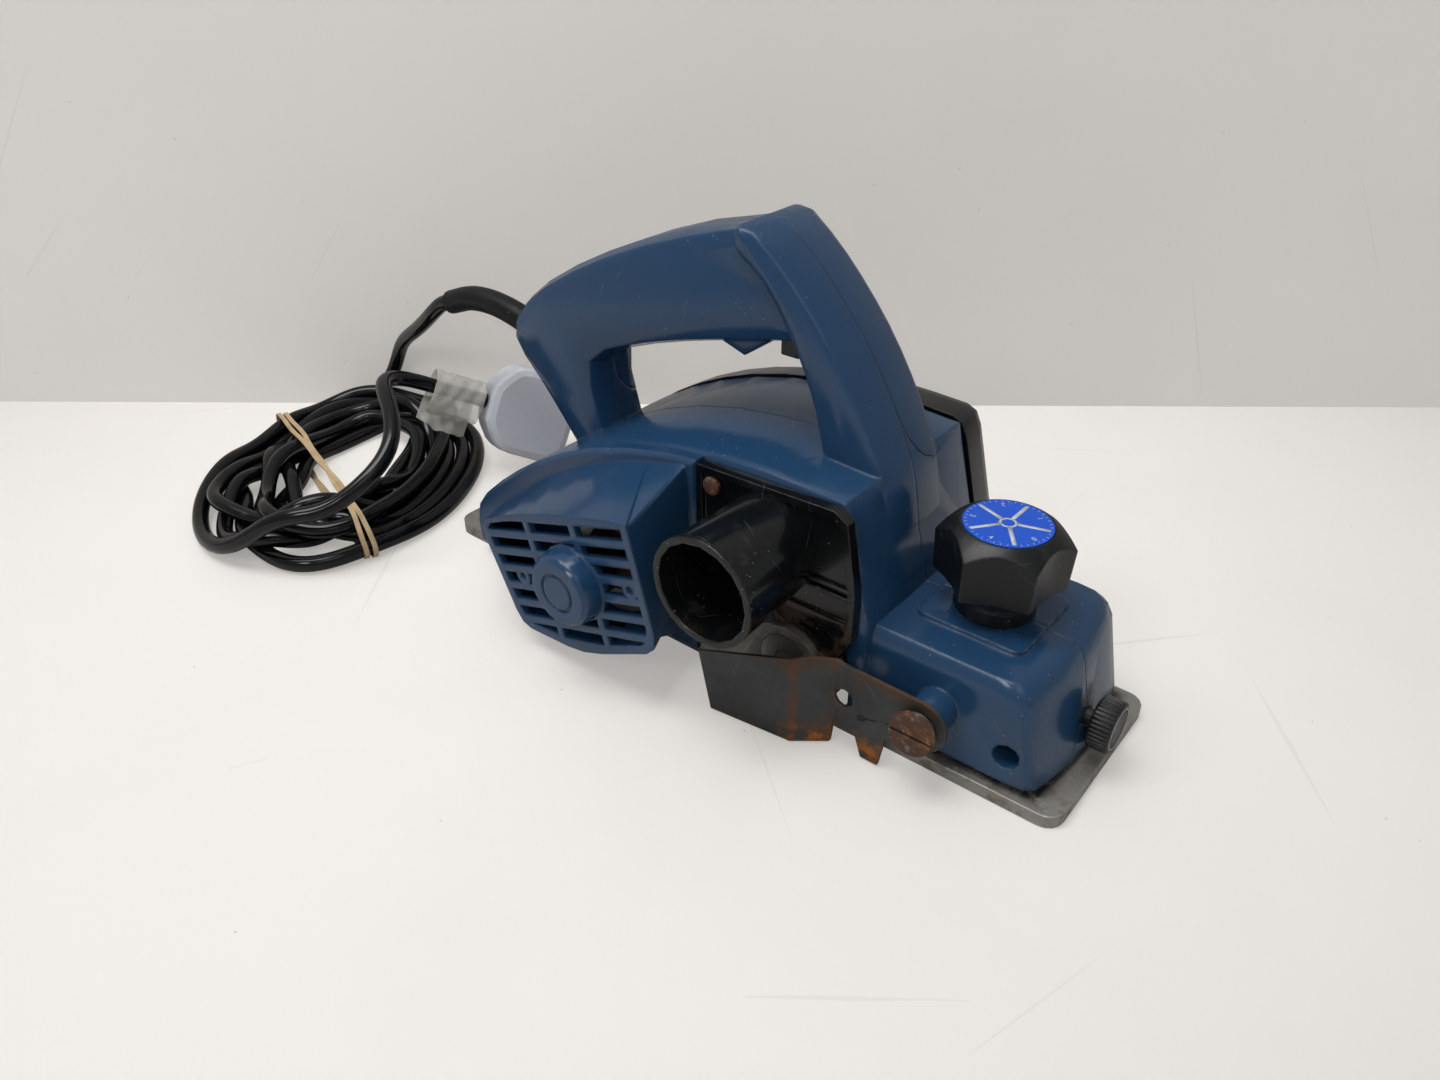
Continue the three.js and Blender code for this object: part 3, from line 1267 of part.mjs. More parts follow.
// Switch body, trigger and its pin in the grip
const inside_half = grip_half_width - wall - gap;
add('switch_body', box(
  [trigger_pivot_x + pin_radius, -inside_half, trigger_pivot_z + trigger_height],
  [trigger_pivot_x + switch_length, inside_half, trigger_pivot_z + trigger_height + switch_height],
), 'black');
function trigger() {
  const lever = box(
    [trigger_pivot_x - 2 * pin_radius, -trigger_half_width, trigger_pivot_z - trigger_height / 2],
    [trigger_tip_x, trigger_half_width, trigger_pivot_z + trigger_height / 2],
  );
  const pad_low_z = trigger_pivot_z - trigger_height / 2 - trigger_pad_drop;
  const tip = box(
    [trigger_tip_x - trigger_pad_length, -trigger_half_width, pad_low_z],
    [trigger_tip_x, trigger_half_width, trigger_pivot_z],
  );
  return lever.add(tip)
    .subtract(rodY(pin_radius + gap, trigger_pivot_x, trigger_pivot_z, -sole_half, sole_half, small_sides));
}
add('trigger', trigger(), 'black');
add('trigger_pin', rodY(pin_radius, trigger_pivot_x, trigger_pivot_z, -inside_half, inside_half,
  small_sides), 'steel');

// Cord sleeve and the cord down to the coil
add('cord_sleeve', pipe(sleeve_curve, sleeve_radius, 16, small_sides), 'rubber');
const lead_route = [
  [-210.7, 1, 84.6], [-228, 7, 73], [-250, 15, 60], [-270, 22, 49.5], [-284, 27.3, 39.5],
  [-291.3, 30.5, 29.5], [-293.6, 30.8, 21.4], [-293.9, 29.3, 14.9], [-294.5, 25, 9.6], [-295.4, 19, 6.2],
];
const tail_route = [
  [-169.6, -98, 32.8], [-165.4, -91.3, 37], [-162.8, -84, 42], [-161.8, -75, 45.8], [-164.5, -66, 51.5],
  [-171.5, -57.5, 57], [-185, -49.1, 62], [-200.5, -39.6, 63.3], [-205.6, -35, 62.7], [-208.4, -29.4, 61.1],
  [-209, -23.2, 58.7],
];

// Heap: one tube that spirals in and out again, and climbs a layer wherever the spiral turns back
const coil_turn_radians = THREE.MathUtils.degToRad(coil_turn);
const coil_low_z = cord_radius + band_thickness + 2 * gap;
const coil_degrees = 360 * coil_loops + coil_end - coil_start;
const layer_degrees = coil_degrees / coil_layers;
function coilPoint(travelled) {
  const within = travelled % (2 * layer_degrees);
  const inset = (coil_pitch * Math.min(within, 2 * layer_degrees - within)) / 360;
  const turn = THREE.MathUtils.degToRad(coil_start + travelled);
  const across = (coil_half_width - inset) * Math.cos(turn);
  const deep = (coil_half_length - inset) * Math.sin(turn);
  const spot = vec(across, deep).rotateAround(vec(0, 0), coil_turn_radians);
  let layers_up = 0;
  for (let layer = 1; layer < coil_layers; layer += 1) {
    const turn_back = layer * layer_degrees;
    layers_up += THREE.MathUtils.smoothstep(travelled, turn_back - climb_degrees, turn_back + climb_degrees);
  }
  return new THREE.Vector3(coil_x + spot.x, coil_y + spot.y, coil_low_z + layers_up * coil_layer);
}

const coil_steps = Math.round((coil_degrees / 360) * loop_steps);
const coil_points = [];
for (let i = 0; i <= coil_steps; i += 1) coil_points.push(coilPoint((i * coil_degrees) / coil_steps));
const heading = (from, to) => to.clone().sub(from).setZ(0).normalize();
const start_heading = heading(coil_points[0], coil_points[1]);
const end_heading = heading(coil_points[coil_steps - 1], coil_points[coil_steps]);
const coil_from = coil_points[0].clone().addScaledVector(start_heading, -2 * cord_radius);
const coil_to = coil_points[coil_steps].clone().addScaledVector(end_heading, 2 * cord_radius);

// Curve through points; a straight piece at an end comes from points in line
function through(points) {
  const curve = new THREE.CatmullRomCurve3(points, false, 'centripetal');
  curve.arcLengthDivisions = 40 * points.length;
  return curve;
}
const coil_curve = through([coil_from, ...coil_points, coil_to]);
add('cord_coil', pipe(coil_curve, cord_radius, coil_steps + 4, 6), 'rubber');

const sleeve_end = new THREE.Vector3(...sleeve_route[sleeve_route.length - 1]);
const sleeve_heading = sleeve_curve.getTangent(1);
const lead_curve = through([
  sleeve_end.clone().addScaledVector(sleeve_heading, gap),
  sleeve_end.clone().addScaledVector(sleeve_heading, 2 * cord_radius),
  ...lead_route.map((p) => new THREE.Vector3(...p)),
  coil_from.clone().addScaledVector(start_heading, -3 * cord_radius),
  coil_from.clone().addScaledVector(start_heading, -gap),
]);
add('cord_lead', pipe(lead_curve, cord_radius, lead_steps, free_sides), 'rubber');

// Plug, leaning on its edge behind the sole
const plug_out = new THREE.Vector3(-0.472, -0.768, 0.434).normalize();
const plug_face = new THREE.Vector3(0.881, -0.394, 0.26).normalize();
const plug_frame = new THREE.Matrix4().makeBasis(
  plug_out, new THREE.Vector3().crossVectors(plug_face, plug_out).normalize(), plug_face,
);
const placed = (geometry) => solidOf(geometry.applyMatrix4(plug_frame).translate(plug_x, plug_y, plug_z));
const plug_half = plug_size / 2;
const plug_shares = [
  [1, 0.42], [0.55, 1], [-0.75, 1], [-1, 0.7], [-1, -0.7], [-0.75, -1], [0.55, -1], [1, -0.42],
];
const plug_softness_share = 0.5;
const plug_corners = inShares(plug_shares, 0, 0, plug_half, plug_half);
const plugOutline = () => softOutline(plug_corners, plug_softness_share, 2);

function plugPart(low, high, edge) {
  const geometry = new THREE.ExtrudeGeometry(new THREE.Shape(plugOutline()), {
    depth: high - low - edge,
    bevelEnabled: edge > 0,
    bevelThickness: edge,
    bevelSize: edge,
    bevelOffset: -edge,
    bevelSegments: 2,
  });
  geometry.translate(0, 0, low);
  return geometry;
}
const plug_split = -plug_depth / 2 + plug_base;
const plug_cover_geometry = plugPart(plug_split + gap, plug_depth / 2, plug_edge);
const below_split = new THREE.BoxGeometry(4 * plug_size, 4 * plug_size, plug_size);
below_split.translate(0, 0, plug_split + gap - plug_size / 2);
add('plug_cover', placed(plug_cover_geometry).subtract(placed(below_split)), 'plug');
add('plug_body', placed(plugPart(-plug_depth / 2, plug_split, 0)), 'plug');

function plugPin(name, along, across, thick, wide, long) {
  const geometry = new THREE.BoxGeometry(thick, wide, long);
  geometry.translate(along, across, -plug_depth / 2 - gap - long / 2);
  add(name, placed(geometry), 'brass');
}
plugPin('plug_pin_earth', -earth_pin_offset, 0, earth_pin[1], earth_pin[0], earth_pin[2]);
plugPin('plug_pin_live', earth_pin_offset, live_pin_offset, live_pin[0], live_pin[1], live_pin[2]);
plugPin('plug_pin_neutral', earth_pin_offset, -live_pin_offset, live_pin[0], live_pin[1], live_pin[2]);

const plug_centre = new THREE.Vector3(plug_x, plug_y, plug_z);
const plug_exit = plug_centre.clone().addScaledVector(plug_out, plug_half + gap);
const coil_end_point = coil_to.clone().addScaledVector(end_heading, gap);
const tail_curve = through([
  coil_end_point,
  coil_to.clone().addScaledVector(end_heading, cord_radius),
  ...tail_route.map((p) => new THREE.Vector3(...p)),
  plug_exit.clone().addScaledVector(plug_out, tag_length + 3 * cord_radius),
  plug_exit.clone().addScaledVector(plug_out, tag_length),
  plug_exit,
]);
add('cord_tail', pipe(tail_curve, cord_radius, tail_steps, free_sides), 'rubber');

// Least free distance between strands of the cord, over points that lie apart along it
function leastGap(curve, count, apart) {
  const points = curve.getSpacedPoints(count);
  const step = curve.getLength() / count;
  let least = Infinity;
  for (let i = 0; i < points.length; i += 1) {
    for (let j = i + Math.ceil(apart / step); j < points.length; j += 1) {
      least = Math.min(least, points[i].distanceTo(points[j]));
    }
  }
  return least - 2 * cord_radius;
}
function gapBetween(first, second, count) {
  const others = second.getSpacedPoints(count * 4);
  const near_joint = Math.ceil((5 * cord_radius * count) / first.getLength());
  const spaced = first.getSpacedPoints(count).slice(0, -near_joint);
  return Math.min(...spaced.map((p) => Math.min(...others.map((q) => p.distanceTo(q))))) - 2 * cord_radius;
}
console.log('least gap within the coil', leastGap(coil_curve, 1200, 12 * cord_radius).toFixed(2));
console.log('least gap of lead to coil', gapBetween(lead_curve, coil_curve, 200).toFixed(2));
const reversed_tail = through(tail_curve.getSpacedPoints(80).reverse());
console.log('least gap of tail to coil', gapBetween(reversed_tail, coil_curve, 200).toFixed(2));

// Rubber band around one side of the heap
const band_centre = vec(coil_x, coil_y).add(
  vec(band_across, band_deep).rotateAround(vec(0, 0), coil_turn_radians),
);
const band_top = coil_low_z + (coil_layers - 1) * coil_layer + cord_radius;
function bandRing(growth) {
  const half = (band_top - band_thickness) / 2 + growth;
  const reach = band_reach / 2 + growth;
  const corner = cord_radius + growth;
  return quarterPlan(-reach, reach, half, corner, corner)
    .map((p) => vec(p.x, p.y + (band_top + band_thickness + gap) / 2));
}
function rubberBand() {
  const shape = new THREE.Shape(bandRing(band_thickness));
  shape.holes.push(new THREE.Path(bandRing(0)));
  const geometry = new THREE.ExtrudeGeometry(shape, { depth: band_width, bevelEnabled: false });
  geometry.translate(0, 0, -band_width / 2);
  geometry.rotateX(Math.PI / 2);
  geometry.rotateZ(THREE.MathUtils.degToRad(band_heading));
  geometry.translate(band_centre.x, band_centre.y, 0);
  return solidOf(geometry);
}
add('rubber_band', rubberBand(), 'band');

// Paper tag folded round the cord near the plug
function cordTag() {
  const inner = cord_radius + 2 * gap;
  const outer = inner + tag_thickness;
  const shape = new THREE.Shape();
  shape.absarc(0, 0, outer, -Math.PI / 2, Math.PI, false);
  shape.lineTo(-outer, -tag_drop);
  shape.lineTo(tag_thickness - outer, -tag_drop);
  shape.lineTo(tag_thickness - outer, 0);
  shape.absarc(0, 0, inner, Math.PI, -Math.PI / 2, true);
  shape.closePath();
  const geometry = new THREE.ExtrudeGeometry(shape, {
    depth: tag_length, bevelEnabled: false, curveSegments: 6,
  });
  const side = new THREE.Vector3().crossVectors(along_z, plug_out).normalize();
  const up = new THREE.Vector3().crossVectors(plug_out, side);
  const start = plug_exit.clone().addScaledVector(plug_out, cord_radius);
  geometry.applyMatrix4(new THREE.Matrix4().makeBasis(side, up, plug_out));
  geometry.translate(start.x, start.y, start.z);
  return solidOf(geometry);
}
add('cord_tag', cordTag(), 'paper');

export default planer;
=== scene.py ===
import json
import math

import bmesh
import bpy
import numpy as np
from mathutils import Matrix, Vector


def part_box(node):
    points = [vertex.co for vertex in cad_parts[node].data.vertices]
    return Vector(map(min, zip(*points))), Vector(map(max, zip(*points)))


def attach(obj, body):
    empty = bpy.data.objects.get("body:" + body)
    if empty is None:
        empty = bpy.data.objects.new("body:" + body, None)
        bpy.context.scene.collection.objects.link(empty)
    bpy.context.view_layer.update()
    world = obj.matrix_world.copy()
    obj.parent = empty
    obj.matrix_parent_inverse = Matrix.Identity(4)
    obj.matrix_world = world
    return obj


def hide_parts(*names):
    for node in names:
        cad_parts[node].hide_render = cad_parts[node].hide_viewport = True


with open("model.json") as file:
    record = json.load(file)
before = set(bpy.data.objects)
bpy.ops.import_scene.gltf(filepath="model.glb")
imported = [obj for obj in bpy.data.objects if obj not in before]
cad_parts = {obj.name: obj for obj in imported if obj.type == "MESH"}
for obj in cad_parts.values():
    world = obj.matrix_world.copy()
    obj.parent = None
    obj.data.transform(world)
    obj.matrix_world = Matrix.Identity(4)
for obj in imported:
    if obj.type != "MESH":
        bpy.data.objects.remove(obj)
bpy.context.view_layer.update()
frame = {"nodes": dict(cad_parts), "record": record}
scene = bpy.context.scene
body_of_node = {
    node: body for body, nodes in frame["record"]["behaviour"]["bodies"].items() for node in nodes
}
MM = 0.001


# Camera at the photograph's place
CAMERA_PLACE = Vector((226.3, -312.0, 282.4)) * MM
CAMERA_LENS = 27.09
AZIMUTH, ELEVATION, ROLL = math.radians(38.76), math.radians(32.63), math.radians(0.24)
LEVEL_RIGHT = Vector((math.cos(AZIMUTH), math.sin(AZIMUTH), 0))


def place_camera():
    flat = math.cos(ELEVATION)
    back = Vector((math.sin(AZIMUTH) * flat, -math.cos(AZIMUTH) * flat, math.sin(ELEVATION)))
    level_up = LEVEL_RIGHT.cross(-back)
    right = LEVEL_RIGHT * math.cos(ROLL) + level_up * math.sin(ROLL)
    up = level_up * math.cos(ROLL) - LEVEL_RIGHT * math.sin(ROLL)
    data = bpy.data.cameras.new("camera")
    data.sensor_fit = "HORIZONTAL"
    data.sensor_width = 36
    data.lens = CAMERA_LENS
    data.clip_start = 0.01
    camera = bpy.data.objects.new("camera", data)
    stand = Matrix((right, up, back)).transposed().to_4x4()
    stand.translation = CAMERA_PLACE
    camera.matrix_world = stand
    scene.collection.objects.link(camera)
    scene.camera = camera


place_camera()

# Cord: the same route as the solid model's, in millimetres, and the spiral that its heap starts from
CORD_RADIUS, SLEEVE_RADIUS = 3.8, 5.8
SLEEVE_ROUTE = [(-118, 0, 93), (-136, 0, 98.6), (-157, 0, 102.4), (-175, 0, 101.4), (-191.5, 0, 95.7)]
LEAD_ROUTE = [
    (-210.7, 1, 84.6), (-228, 7, 73), (-250, 15, 60), (-270, 22, 49.5), (-284, 27.3, 39.5),
    (-291.3, 30.5, 29.5), (-293.6, 30.8, 21.4), (-293.9, 29.3, 14.9), (-294.5, 25, 9.6), (-295.4, 19, 6.2),
]
TAIL_ROUTE = [
    (-169.6, -98, 32.8), (-165.4, -91.3, 37), (-162.8, -84, 42), (-161.8, -75, 45.8), (-164.5, -66, 51.5),
    (-171.5, -57.5, 57), (-185, -49.1, 62), (-200.5, -39.6, 63.3), (-205.6, -35, 62.7),
    (-208.4, -29.4, 61.1), (-209, -23.2, 58.7),
]
COIL_PLACE = Vector((-235.4, -46.6, 5.4))
COIL_TURN = math.radians(33)
COIL_HALF_WIDTH, COIL_HALF_LENGTH = 55, 85
COIL_PITCH, COIL_LAYER, COIL_LAYERS = 8.7, 8.4, 4
COIL_START, COIL_END = 125, 360 * 7 + 280
COIL_DEGREES = COIL_END - COIL_START
LAYER_DEGREES, LAYER_CLIMB = COIL_DEGREES / COIL_LAYERS, 90
PLUG_PLACE = Vector((-178.3, 29, 29.6))
PLUG_OUT = Vector((-0.472, -0.768, 0.434)).normalized()
PLUG_REACH = 23.3
TAG_LENGTH = 26
ROUTE_STEP = 3


def smoothstep(value, low, high):
    share = min(1, max(0, (value - low) / (high - low)))
    return share * share * (3 - 2 * share)


# Place on the even spiral, after so many degrees
def coil_point(travelled):
    within = travelled % (2 * LAYER_DEGREES)
    inset = COIL_PITCH * min(within, 2 * LAYER_DEGREES - within) / 360
    turn = math.radians(COIL_START + travelled)
    across = (COIL_HALF_WIDTH - inset) * math.cos(turn)
    deep = (COIL_HALF_LENGTH - inset) * math.sin(turn)
    layers_up = sum(
        smoothstep(travelled, layer * LAYER_DEGREES - LAYER_CLIMB, layer * LAYER_DEGREES + LAYER_CLIMB)
        for layer in range(1, COIL_LAYERS)
    )
    spot = Matrix.Rotation(COIL_TURN, 3, "Z") @ Vector((across, deep, 0))
    return COIL_PLACE + spot + Vector((0, 0, layers_up * COIL_LAYER))


# Points that a smooth curve passes, evenly spread over a given route
def through(points, step):
    points = [Vector(p) for p in points]
    ends = [2 * points[0] - points[1], *points, 2 * points[-1] - points[-2]]
    drawn = []
    for a, b, c, d in zip(ends, ends[1:], ends[2:], ends[3:]):
        t0, t1 = 0, math.sqrt((b - a).length)
        t2 = t1 + math.sqrt((c - b).length)
        t3 = t2 + math.sqrt((d - c).length)
        count = max(2, round((c - b).length / step))
        for i in range(count):
            t = t1 + (t2 - t1) * i / count
            ab = a.lerp(b, (t - t0) / (t1 - t0))
            bc = b.lerp(c, (t - t1) / (t2 - t1))
            cd = c.lerp(d, (t - t2) / (t3 - t2))
            abc = ab.lerp(bc, (t - t0) / (t2 - t0))
            bcd = bc.lerp(cd, (t - t1) / (t3 - t1))
            drawn.append(abc.lerp(bcd, (t - t1) / (t2 - t1)))
    return [*drawn, points[-1]]


# How far a loop of the heap strays from the even spiral: smaller and shifted loops in its middle turns
def wander(travelled):
    turn = math.radians(travelled)
    held = smoothstep(travelled, 0, 150) * smoothstep(COIL_DEGREES - travelled, 0, 150)
    aside = 7 * math.sin(0.37 * turn + 0.6) + 3 * math.sin(1.31 * turn)
    along = 9 * math.sin(0.43 * turn + 2.1) + 4 * math.sin(1.17 * turn + 1)
    drawn_in = sum(
        share * math.exp(-(((travelled - middle) / spread) ** 2))
        for share, middle, spread in ((0.16, 1150, 230), (0.22, 2000, 220))
    )
    heading = math.radians(COIL_START + travelled)
    aside -= drawn_in * COIL_HALF_WIDTH * math.cos(heading)
    along -= drawn_in * COIL_HALF_LENGTH * (math.sin(heading) - 0.6)
    return Matrix.Rotation(COIL_TURN, 3, "Z") @ Vector((aside * held, along * held, 0))


# The cord's middle line in three parts: from the sleeve to the heap, the heap, and on to the plug
def cord_points():
    steps = round(COIL_DEGREES / 12)
    turns = [i * COIL_DEGREES / steps for i in range(steps + 1)]
    coil = [coil_point(travelled) for travelled in turns]
    into = (coil[1] - coil[0]) * Vector((1, 1, 0))
    out = (coil[-1] - coil[-2]) * Vector((1, 1, 0))
    into.normalize()
    out.normalize()
    sleeve_end = Vector(SLEEVE_ROUTE[-1])
    sleeve_out = (sleeve_end - Vector(SLEEVE_ROUTE[-2])).normalized()
    lead = through([
        sleeve_end + sleeve_out * 0.3, sleeve_end + sleeve_out * 2 * CORD_RADIUS, *LEAD_ROUTE,
        coil[0] - into * 5 * CORD_RADIUS, coil[0] - into * 2 * CORD_RADIUS, coil[0],
    ], ROUTE_STEP)
    plug_exit = PLUG_PLACE + PLUG_OUT * PLUG_REACH
    tail = through([
        coil[-1], coil[-1] + out * 2 * CORD_RADIUS, coil[-1] + out * 3 * CORD_RADIUS, *TAIL_ROUTE,
        plug_exit + PLUG_OUT * (TAG_LENGTH + 3 * CORD_RADIUS), plug_exit + PLUG_OUT * TAG_LENGTH, plug_exit,
    ], ROUTE_STEP)
    wandering = [spot + wander(travelled) for spot, travelled in zip(coil, turns)]
    return lead[:-1], wandering, tail[1:]


# Points in even steps along a line
def spaced(points, step):
    places = np.array([tuple(p) for p in points])
    lengths = np.linalg.norm(np.diff(places, axis=0), axis=1)
    along = np.concatenate([[0], np.cumsum(lengths)])
    marks = np.linspace(0, along[-1], round(along[-1] / step) + 1)
    return np.stack([np.interp(marks, along, places[:, axis]) for axis in range(3)], axis=1)


# Band's place and heading seen from above, and the room that it leaves the heap
BAND_PLACE = np.array((-234.1, -62.7))
BAND_HEADING = math.radians(-17.6)
BAND_ALONG = np.array((math.cos(BAND_HEADING), math.sin(BAND_HEADING)))
BAND_ACROSS = np.array((-BAND_ALONG[1], BAND_ALONG[0]))
BAND_HALF_REACH, BAND_HOLDS = 73.5, 7
HEAP_LOW, HEAP_TOP = 5.4, 30.1
# Lengths in millimetres, and shares of a fault that one round takes out
CORD_STEP, FALL, CORD_APART, LOWEST = 4, 0.12, 2 * CORD_RADIUS + 0.35, CORD_RADIUS + 0.2
PUSH_SHARE, KINK_SHARE, BOW_SHARE, STEP_SHARE = 0.45, 0.055, 0.5, 0.12
SHARPEST_BOWS = ((1, 0.4), (3, 4), (5, 11))
HELD_STEPS = 6


# How far each point of the cord stands off the smooth curve through the points beside it
def kinks(place):
    return place[:-4] - 4 * place[1:-3] + 6 * place[2:-2] - 4 * place[3:-1] + place[4:]


# Turns of the cord that lie too close give way to each other
def push_apart(place, free, first, second):
    gap = place[first] - place[second]
    size = np.linalg.norm(gap, axis=1)
    close = size < CORD_APART
    if close.any():
        near, far, push = first[close], second[close], gap[close]
        push[:, 2] -= 0.15
        length = np.maximum(np.linalg.norm(push, axis=1), 0.1)
        push *= ((CORD_APART - size[close]) / length)[:, None] * PUSH_SHARE
        moved, met = np.zeros(place.shape), np.zeros(free.shape)
        for ends, shift in ((near, push), (far, -push)):
            np.add.at(moved, ends, shift)
            np.add.at(met, ends, 1)
        place += free * moved / np.maximum(1, met * 0.6)


# Kinks in the cord are smoothed, and its bends kept from turning too tight
def ease_bends(place, free):
    for _ in range(5):
        place[2:-2] -= free[2:-2] * kinks(place) * KINK_SHARE
    for reach, sharpest in SHARPEST_BOWS:
        bow = (place[:-2 * reach] + place[2 * reach:]) / 2 - place[reach:-reach]
        deep = np.linalg.norm(bow, axis=1)[:, None]
        share = np.maximum(0, deep - sharpest) / np.maximum(deep, 1e-6)
        place[reach:-reach] += free[reach:-reach] * bow * share * BOW_SHARE


# The cord keeps its length
def even_out_steps(place, free):
    for _ in range(2):
        link = np.diff(place, axis=0)
        size = np.linalg.norm(link, axis=1)[:, None]
        pull = link * (1 - CORD_STEP / size) * STEP_SHARE
        place[:-1] += free[:-1] * pull
        place[1:] -= free[1:] * pull


# Turns that cross under the band stay inside it
def keep_in_band(place, free):
    flat = place[:, :2] - BAND_PLACE
    at_band = (np.abs(flat @ BAND_ACROSS) < BAND_HOLDS) & (free[:, 0] > 0)
    place[at_band, 2] = np.clip(place[at_band, 2], HEAP_LOW, HEAP_TOP)
    out = flat @ BAND_ALONG
    over = np.clip(np.abs(out) - (BAND_HALF_REACH - CORD_RADIUS), 0, None) * np.sign(out)
    place[at_band, :2] -= over[at_band, None] * BAND_ALONG


# Let the heap's loops fall on each other, under the band, while both ends of the cord stay where they are
def settled_cord(rounds):
    lead, coil, tail = cord_points()
    lead_count = len(spaced([*lead, coil[0]], CORD_STEP)) - 1
    tail_count = len(spaced([coil[-1], *tail], CORD_STEP)) - 1
    place = spaced([*lead, *coil, *tail], CORD_STEP)
    count = len(place)
    free = np.zeros((count, 1))
    free[lead_count + HELD_STEPS:count - tail_count - HELD_STEPS] = 1
    free[:, 0] = np.convolve(free[:, 0], np.ones(9) / 9, "same")
    first, second = np.triu_indices(count, HELD_STEPS)
    loose = (free[first, 0] + free[second, 0]) > 0
    first, second = first[loose], second[loose]
    for i in range(rounds):
        if i < rounds * 0.8:
            place[:, 2] -= FALL * free[:, 0]
        push_apart(place, free, first, second)
        ease_bends(place, free)
        even_out_steps(place, free)
        keep_in_band(place, free)
        place[(place[:, 2] < LOWEST) & (free[:, 0] > 0), 2] = LOWEST
    swing = slice(5, lead_count + 4)
    for _ in range(40):
        before, after = place[4:lead_count + 3], place[6:lead_count + 5]
        place[swing] += ((before + after) / 2 - place[swing]) * 0.5
    for _ in range(90):
        place[5:-9] -= kinks(place)[3:-7] * KINK_SHARE
    place[:, 2] = np.maximum(place[:, 2], CORD_RADIUS)
    return place


# Materials: shared effects as node groups, then one function for each finish
def new_group(name, *numbers):
    group = bpy.data.node_groups.new(name, "ShaderNodeTree")
    group.interface.new_socket(name="Place", in_out="INPUT", socket_type="NodeSocketVector")
    for number in numbers:
        group.interface.new_socket(name=number, in_out="INPUT", socket_type="NodeSocketFloat")
    group.interface.new_socket(name="Mask", in_out="OUTPUT", socket_type="NodeSocketFloat")
    return group, group.nodes.new("NodeGroupInput"), group.nodes.new("NodeGroupOutput")


# Give a socket a wire or a plain value
def feed(tree, socket, source):
    if isinstance(source, bpy.types.NodeSocket):
        tree.links.new(source, socket)
    else:
        socket.default_value = source


# New node, with wires or values for its inputs, and its own settings by name
def add_node(tree, kind, inputs=(), **values):
    node = tree.nodes.new(kind)
    for key, value in values.items():
        if hasattr(node, key):
            setattr(node, key, value)
        else:
            node.inputs[key.replace("_", " ")].default_value = value
    for socket, source in inputs:
        feed(tree, node.inputs[socket], source)
    return node


# Sum, product or comparison of numbers
def scalar(tree, operation, *sources):
    return add_node(tree, "ShaderNodeMath", enumerate(sources), operation=operation).outputs[0]


# The same for vectors
def vector(tree, operation, *sources):
    return add_node(tree, "ShaderNodeVectorMath", enumerate(sources), operation=operation).outputs


# Where a value lies between low and high, from 0 to 1
def ranged(tree, value, low, high, **values):
    inputs = [("Value", value), ("From Min", low), ("From Max", high)]
    return add_node(tree, "ShaderNodeMapRange", inputs, **values).outputs[0]


# Patches: soft cloudy mask, bare below Level and full from Edge above it
def make_patches():
    group, given, put = new_group("patches", "Scale", "Level", "Edge")
    cloud = add_node(
        group, "ShaderNodeTexNoise",
        [("Vector", given.outputs["Place"]), ("Scale", given.outputs["Scale"])], Detail=6, Roughness=0.62,
    )
    high = scalar(group, "ADD", given.outputs["Level"], given.outputs["Edge"])
    feed(group, put.inputs["Mask"], ranged(group, cloud.outputs["Fac"], given.outputs["Level"], high))
    return group


# Scratches: short straight cuts, one plane of a random heading in some of the cells
def make_scratches():
    group, given, put = new_group("scratches", "Scale", "Width", "Rarity")
    place, scale = given.outputs["Place"], given.outputs["Scale"]
    cells = add_node(group, "ShaderNodeTexVoronoi", [("Vector", place), ("Scale", scale)])
    offset = vector(group, "SUBTRACT", place, cells.outputs["Position"])["Vector"]
    spread = vector(group, "SUBTRACT", cells.outputs["Color"], (0.5, 0.5, 0.5))["Vector"]
    heading = vector(group, "NORMALIZE", spread)["Vector"]
    away = scalar(group, "ABSOLUTE", vector(group, "DOT_PRODUCT", offset, heading)["Value"])
    reach = scalar(group, "MULTIPLY", vector(group, "LENGTH", offset)["Value"], scale)
    fading = scalar(group, "SUBTRACT", 1.0, scalar(group, "MULTIPLY", reach, 1.6))
    half = scalar(group, "MULTIPLY", scalar(group, "MAXIMUM", fading, 0.0), given.outputs["Width"])
    cut = scalar(group, "LESS_THAN", away, half)
    tone = add_node(group, "ShaderNodeSeparateColor", [("Color", cells.outputs["Color"])])
    kept = scalar(group, "GREATER_THAN", tone.outputs[0], given.outputs["Rarity"])
    feed(group, put.inputs["Mask"], scalar(group, "MULTIPLY", cut, kept))
    return group


# Specks: small dots, scattered where a broad cloud is thick
def make_specks():
    group, given, put = new_group("specks", "Scale", "Size")
    place = given.outputs["Place"]
    cells = add_node(group, "ShaderNodeTexVoronoi", [("Vector", place), ("Scale", given.outputs["Scale"])])
    near = scalar(group, "LESS_THAN", cells.outputs["Distance"], given.outputs["Size"])
    broad = add_node(group, "ShaderNodeTexNoise", [("Vector", place)], Scale=35)
    some = scalar(group, "GREATER_THAN", broad.outputs["Fac"], 0.56)
    feed(group, put.inputs["Mask"], scalar(group, "MULTIPLY", near, some))
    return group


PATCHES, SCRATCHES, SPECKS = make_patches(), make_scratches(), make_specks()


